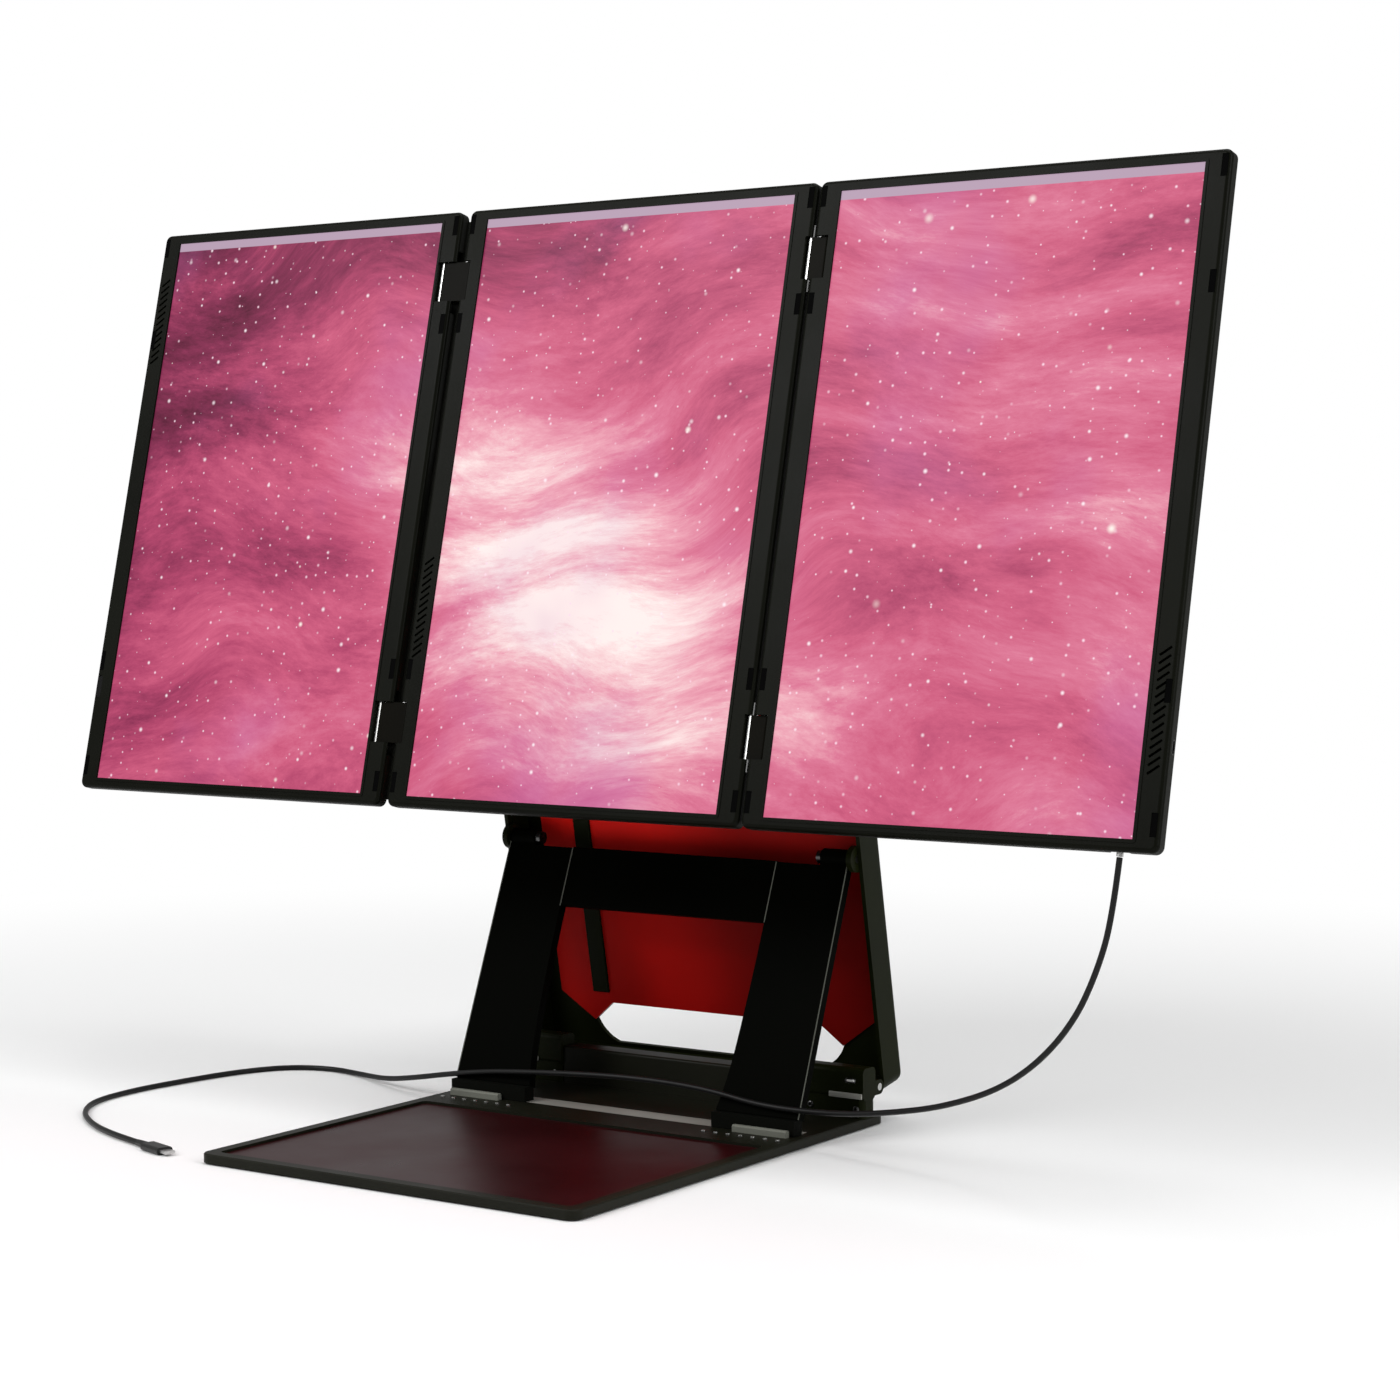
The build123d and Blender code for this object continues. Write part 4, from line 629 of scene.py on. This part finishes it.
def build_edge_highlights(name, node, outwards, least, radius, body):
    """Thin pale lines up the long edges of a node's face that looks outwards: a painted highlight where the
    edges catch the light.
    """
    source = bmesh.new()
    source.from_mesh(NODES[node].data)
    bmesh.ops.transform(source, matrix=NODES[node].matrix_world, verts=source.verts)
    bmesh.ops.remove_doubles(source, verts=source.verts, dist=1e-6)
    bm = bmesh.new()
    for edge in source.edges:
        looks = [face.normal.dot(outwards) > LOOKS_ALONG for face in edge.link_faces]
        if sorted(looks) != [False, True] or edge.calc_length() < least:
            continue
        start, end = (vert.co for vert in edge.verts)
        along = (end - start).normalized()
        if abs(along.x) > ACROSS:
            continue
        middle = (start + end) / 2
        rod = bmesh.ops.create_cone(
            bm, cap_ends=True, segments=8, radius1=radius, radius2=radius, depth=edge.calc_length(),
        )["verts"]
        bmesh.ops.transform(bm, matrix=standing(middle, along), verts=rod)
    source.free()
    finish_piece(bm, name, body, EDGE_HIGHLIGHT)


# across, behind the front face and up, from the middle of the left panel
LIP_LOW, LIP_HIGH = (0.1437, 0.0081, -0.2062), (0.1458, 0.0097, 0.2062)
LIP_ROUND = 0.0004


def build_cover_lip():
    """Rear flange of the left panel's cover, reaching into the gap beside the middle panel."""
    turn = Matrix((Vector((1, 0, 0)), -PANEL_FRONT, PANEL_UP)).transposed().to_4x4()
    bm = bmesh.new()
    add_bar(bm, LIP_LOW, LIP_HIGH, LIP_ROUND,
            Matrix.Translation(FACE + Vector((PANEL_CENTRES["left"], 0, 0))) @ turn)
    finish_piece(bm, "left_cover_lip", "left_panel", COVER_BLACK)


TONGUE_LOW, TONGUE_HIGH = (0.1370, 0.1457, 0.03175), (0.1430, 0.1530, 0.03325)
TONGUE_ROUND = 0.0003


def build_port_tongue():
    """Bare metal tongue inside the hinge box's port."""
    bm = bmesh.new()
    add_bar(bm, TONGUE_LOW, TONGUE_HIGH, TONGUE_ROUND)
    finish_piece(bm, "hinge_box_tongue", "root", TONGUE_PLATE)


build_box_strips()
build_cover_lip()
build_port_tongue()
LEG_LEAN = radians(21.474)
LEG_FRONT = Vector((0, -cos(LEG_LEAN), sin(LEG_LEAN)))
EDGE_LEAST, EDGE_RADIUS = 0.030, 0.0004
# painted highlights up the long front edges of each leg
for side in ("left", "right"):
    build_edge_highlights(
        f"leg_{side}_edge_lines", f"leg_{side}", LEG_FRONT, EDGE_LEAST, EDGE_RADIUS, "leg_frame",
    )
# each screw's radius and rise
BOX_SCREW, SHELL_SCREW, COVER_SCREW = (0.0023, 0.0009), (0.0031, 0.0010), (0.0019, 0.0007)
BOX_SCREWS_X = (-0.1445, -0.1085, 0.1085, 0.1445)
build_screws(
    "hinge_box_screws", [Vector((x, 0.1459, 0.0135)) for x in BOX_SCREWS_X],
    Vector((0, -1, 0)), *BOX_SCREW, "root",
)
SHELL_SCREWS_X = (-0.126, -0.046, 0.046, 0.126)
SHELL_SCREWS_ROW = SHELL_FOOT + SHELL_UP * 0.4015 + SHELL_BACK * 0.0259
build_screws(
    "shell_screws", [SHELL_SCREWS_ROW + Vector((x, 0, 0)) for x in SHELL_SCREWS_X],
    SHELL_BACK, *SHELL_SCREW, "stand_shell",
)
COVER_SCREWS_ACROSS = (-0.1365, 0.1365)
COVER_SCREWS_UP = (-0.2040, -0.066, 0.066, 0.2040)
COVER_SCREWS_DEPTH = 0.00995
for side in PANEL_CENTRES:
    build_screws(
        f"{side}_cover_screws",
        [on_panel(side, across, up, COVER_SCREWS_DEPTH)
         for across in COVER_SCREWS_ACROSS for up in COVER_SCREWS_UP],
        -PANEL_FRONT, *COVER_SCREW, f"{side}_panel",
    )


# ------------------------------------------------------------- floor, light, world
FLOOR_HALF = 9.0
FADE_FROM, FADE_TO = 0.55, 1.5  # metres from the object
AMBIENT = 0.42  # the surroundings' light on the object
LAMP_AIM = (0, 0, 0.3)


def build_floor():
    bm = bmesh.new()
    bmesh.ops.create_grid(bm, x_segments=1, y_segments=1, size=FLOOR_HALF)
    mesh = bpy.data.meshes.new("table_top")
    bm.to_mesh(mesh)
    bm.free()
    floor = bpy.data.objects.new("table_top", mesh)
    bpy.context.scene.collection.objects.link(floor)
    material, tree, shader = new_material("pale_table")
    shader.inputs["Base Color"].default_value = (0.86, 0.86, 0.86, 1)
    shader.inputs["Roughness"].default_value = 0.6
    shader.inputs["Specular IOR Level"].default_value = 0.2
    # the table fades to white away from the object
    place = add(tree, "TexCoord")
    spread = add(tree, "VectorMath", operation="LENGTH")
    tree.links.new(place.outputs["Object"], spread.inputs[0])
    fade = smooth_step(tree, spread.outputs["Value"], FADE_FROM, FADE_TO)
    path = add(tree, "LightPath")
    seen = combined(tree, "MAXIMUM", path.outputs["Is Camera Ray"], path.outputs["Is Glossy Ray"])
    share = combined(tree, "MULTIPLY", fade, seen)
    white = add(tree, "Emission", values={"Color": (1, 1, 1, 1), "Strength": 1.0})
    blend = add(tree, "MixShader")
    tree.links.new(share, blend.inputs[0])
    tree.links.new(shader.outputs["BSDF"], blend.inputs[1])
    tree.links.new(white.outputs["Emission"], blend.inputs[2])
    tree.links.new(blend.outputs["Shader"], tree.nodes["Material Output"].inputs["Surface"])
    mesh.materials.append(material)


def build_world():
    world = bpy.data.worlds.new("studio")
    bpy.context.scene.world = world
    world.use_nodes = True
    tree = world.node_tree
    background = tree.nodes["Background"]
    background.inputs["Color"].default_value = (1, 1, 1, 1)
    path = add(tree, "LightPath")
    strength = add(tree, "MapRange", values={"To Min": AMBIENT, "To Max": 1.0})
    tree.links.new(path.outputs["Is Camera Ray"], strength.inputs["Value"])
    tree.links.new(strength.outputs["Result"], background.inputs["Strength"])


def add_lamp(name, place, aim, size, power):
    lamp = bpy.data.lights.new(name, "AREA")
    lamp.shape = "RECTANGLE"
    lamp.size, lamp.size_y = size
    lamp.energy = power
    holder = bpy.data.objects.new(name, lamp)
    bpy.context.scene.collection.objects.link(holder)
    holder.location = place
    holder.rotation_euler = (Vector(aim) - Vector(place)).to_track_quat("-Z", "Y").to_euler()


build_floor()
build_world()
add_lamp("key_lamp", (-1.5, -2.2, 2.2), LAMP_AIM, (1.6, 1.6), 62.0)
add_lamp("side_lamp", (2.6, -0.2, 1.5), LAMP_AIM, (1.0, 1.8), 34.0)
add_lamp("top_lamp", (0.2, 0.3, 2.6), (0, 0.1, 0.3), (1.8, 1.4), 26.0)
bpy.context.scene.view_settings.view_transform = "Standard"

bpy.context.view_layer.update()
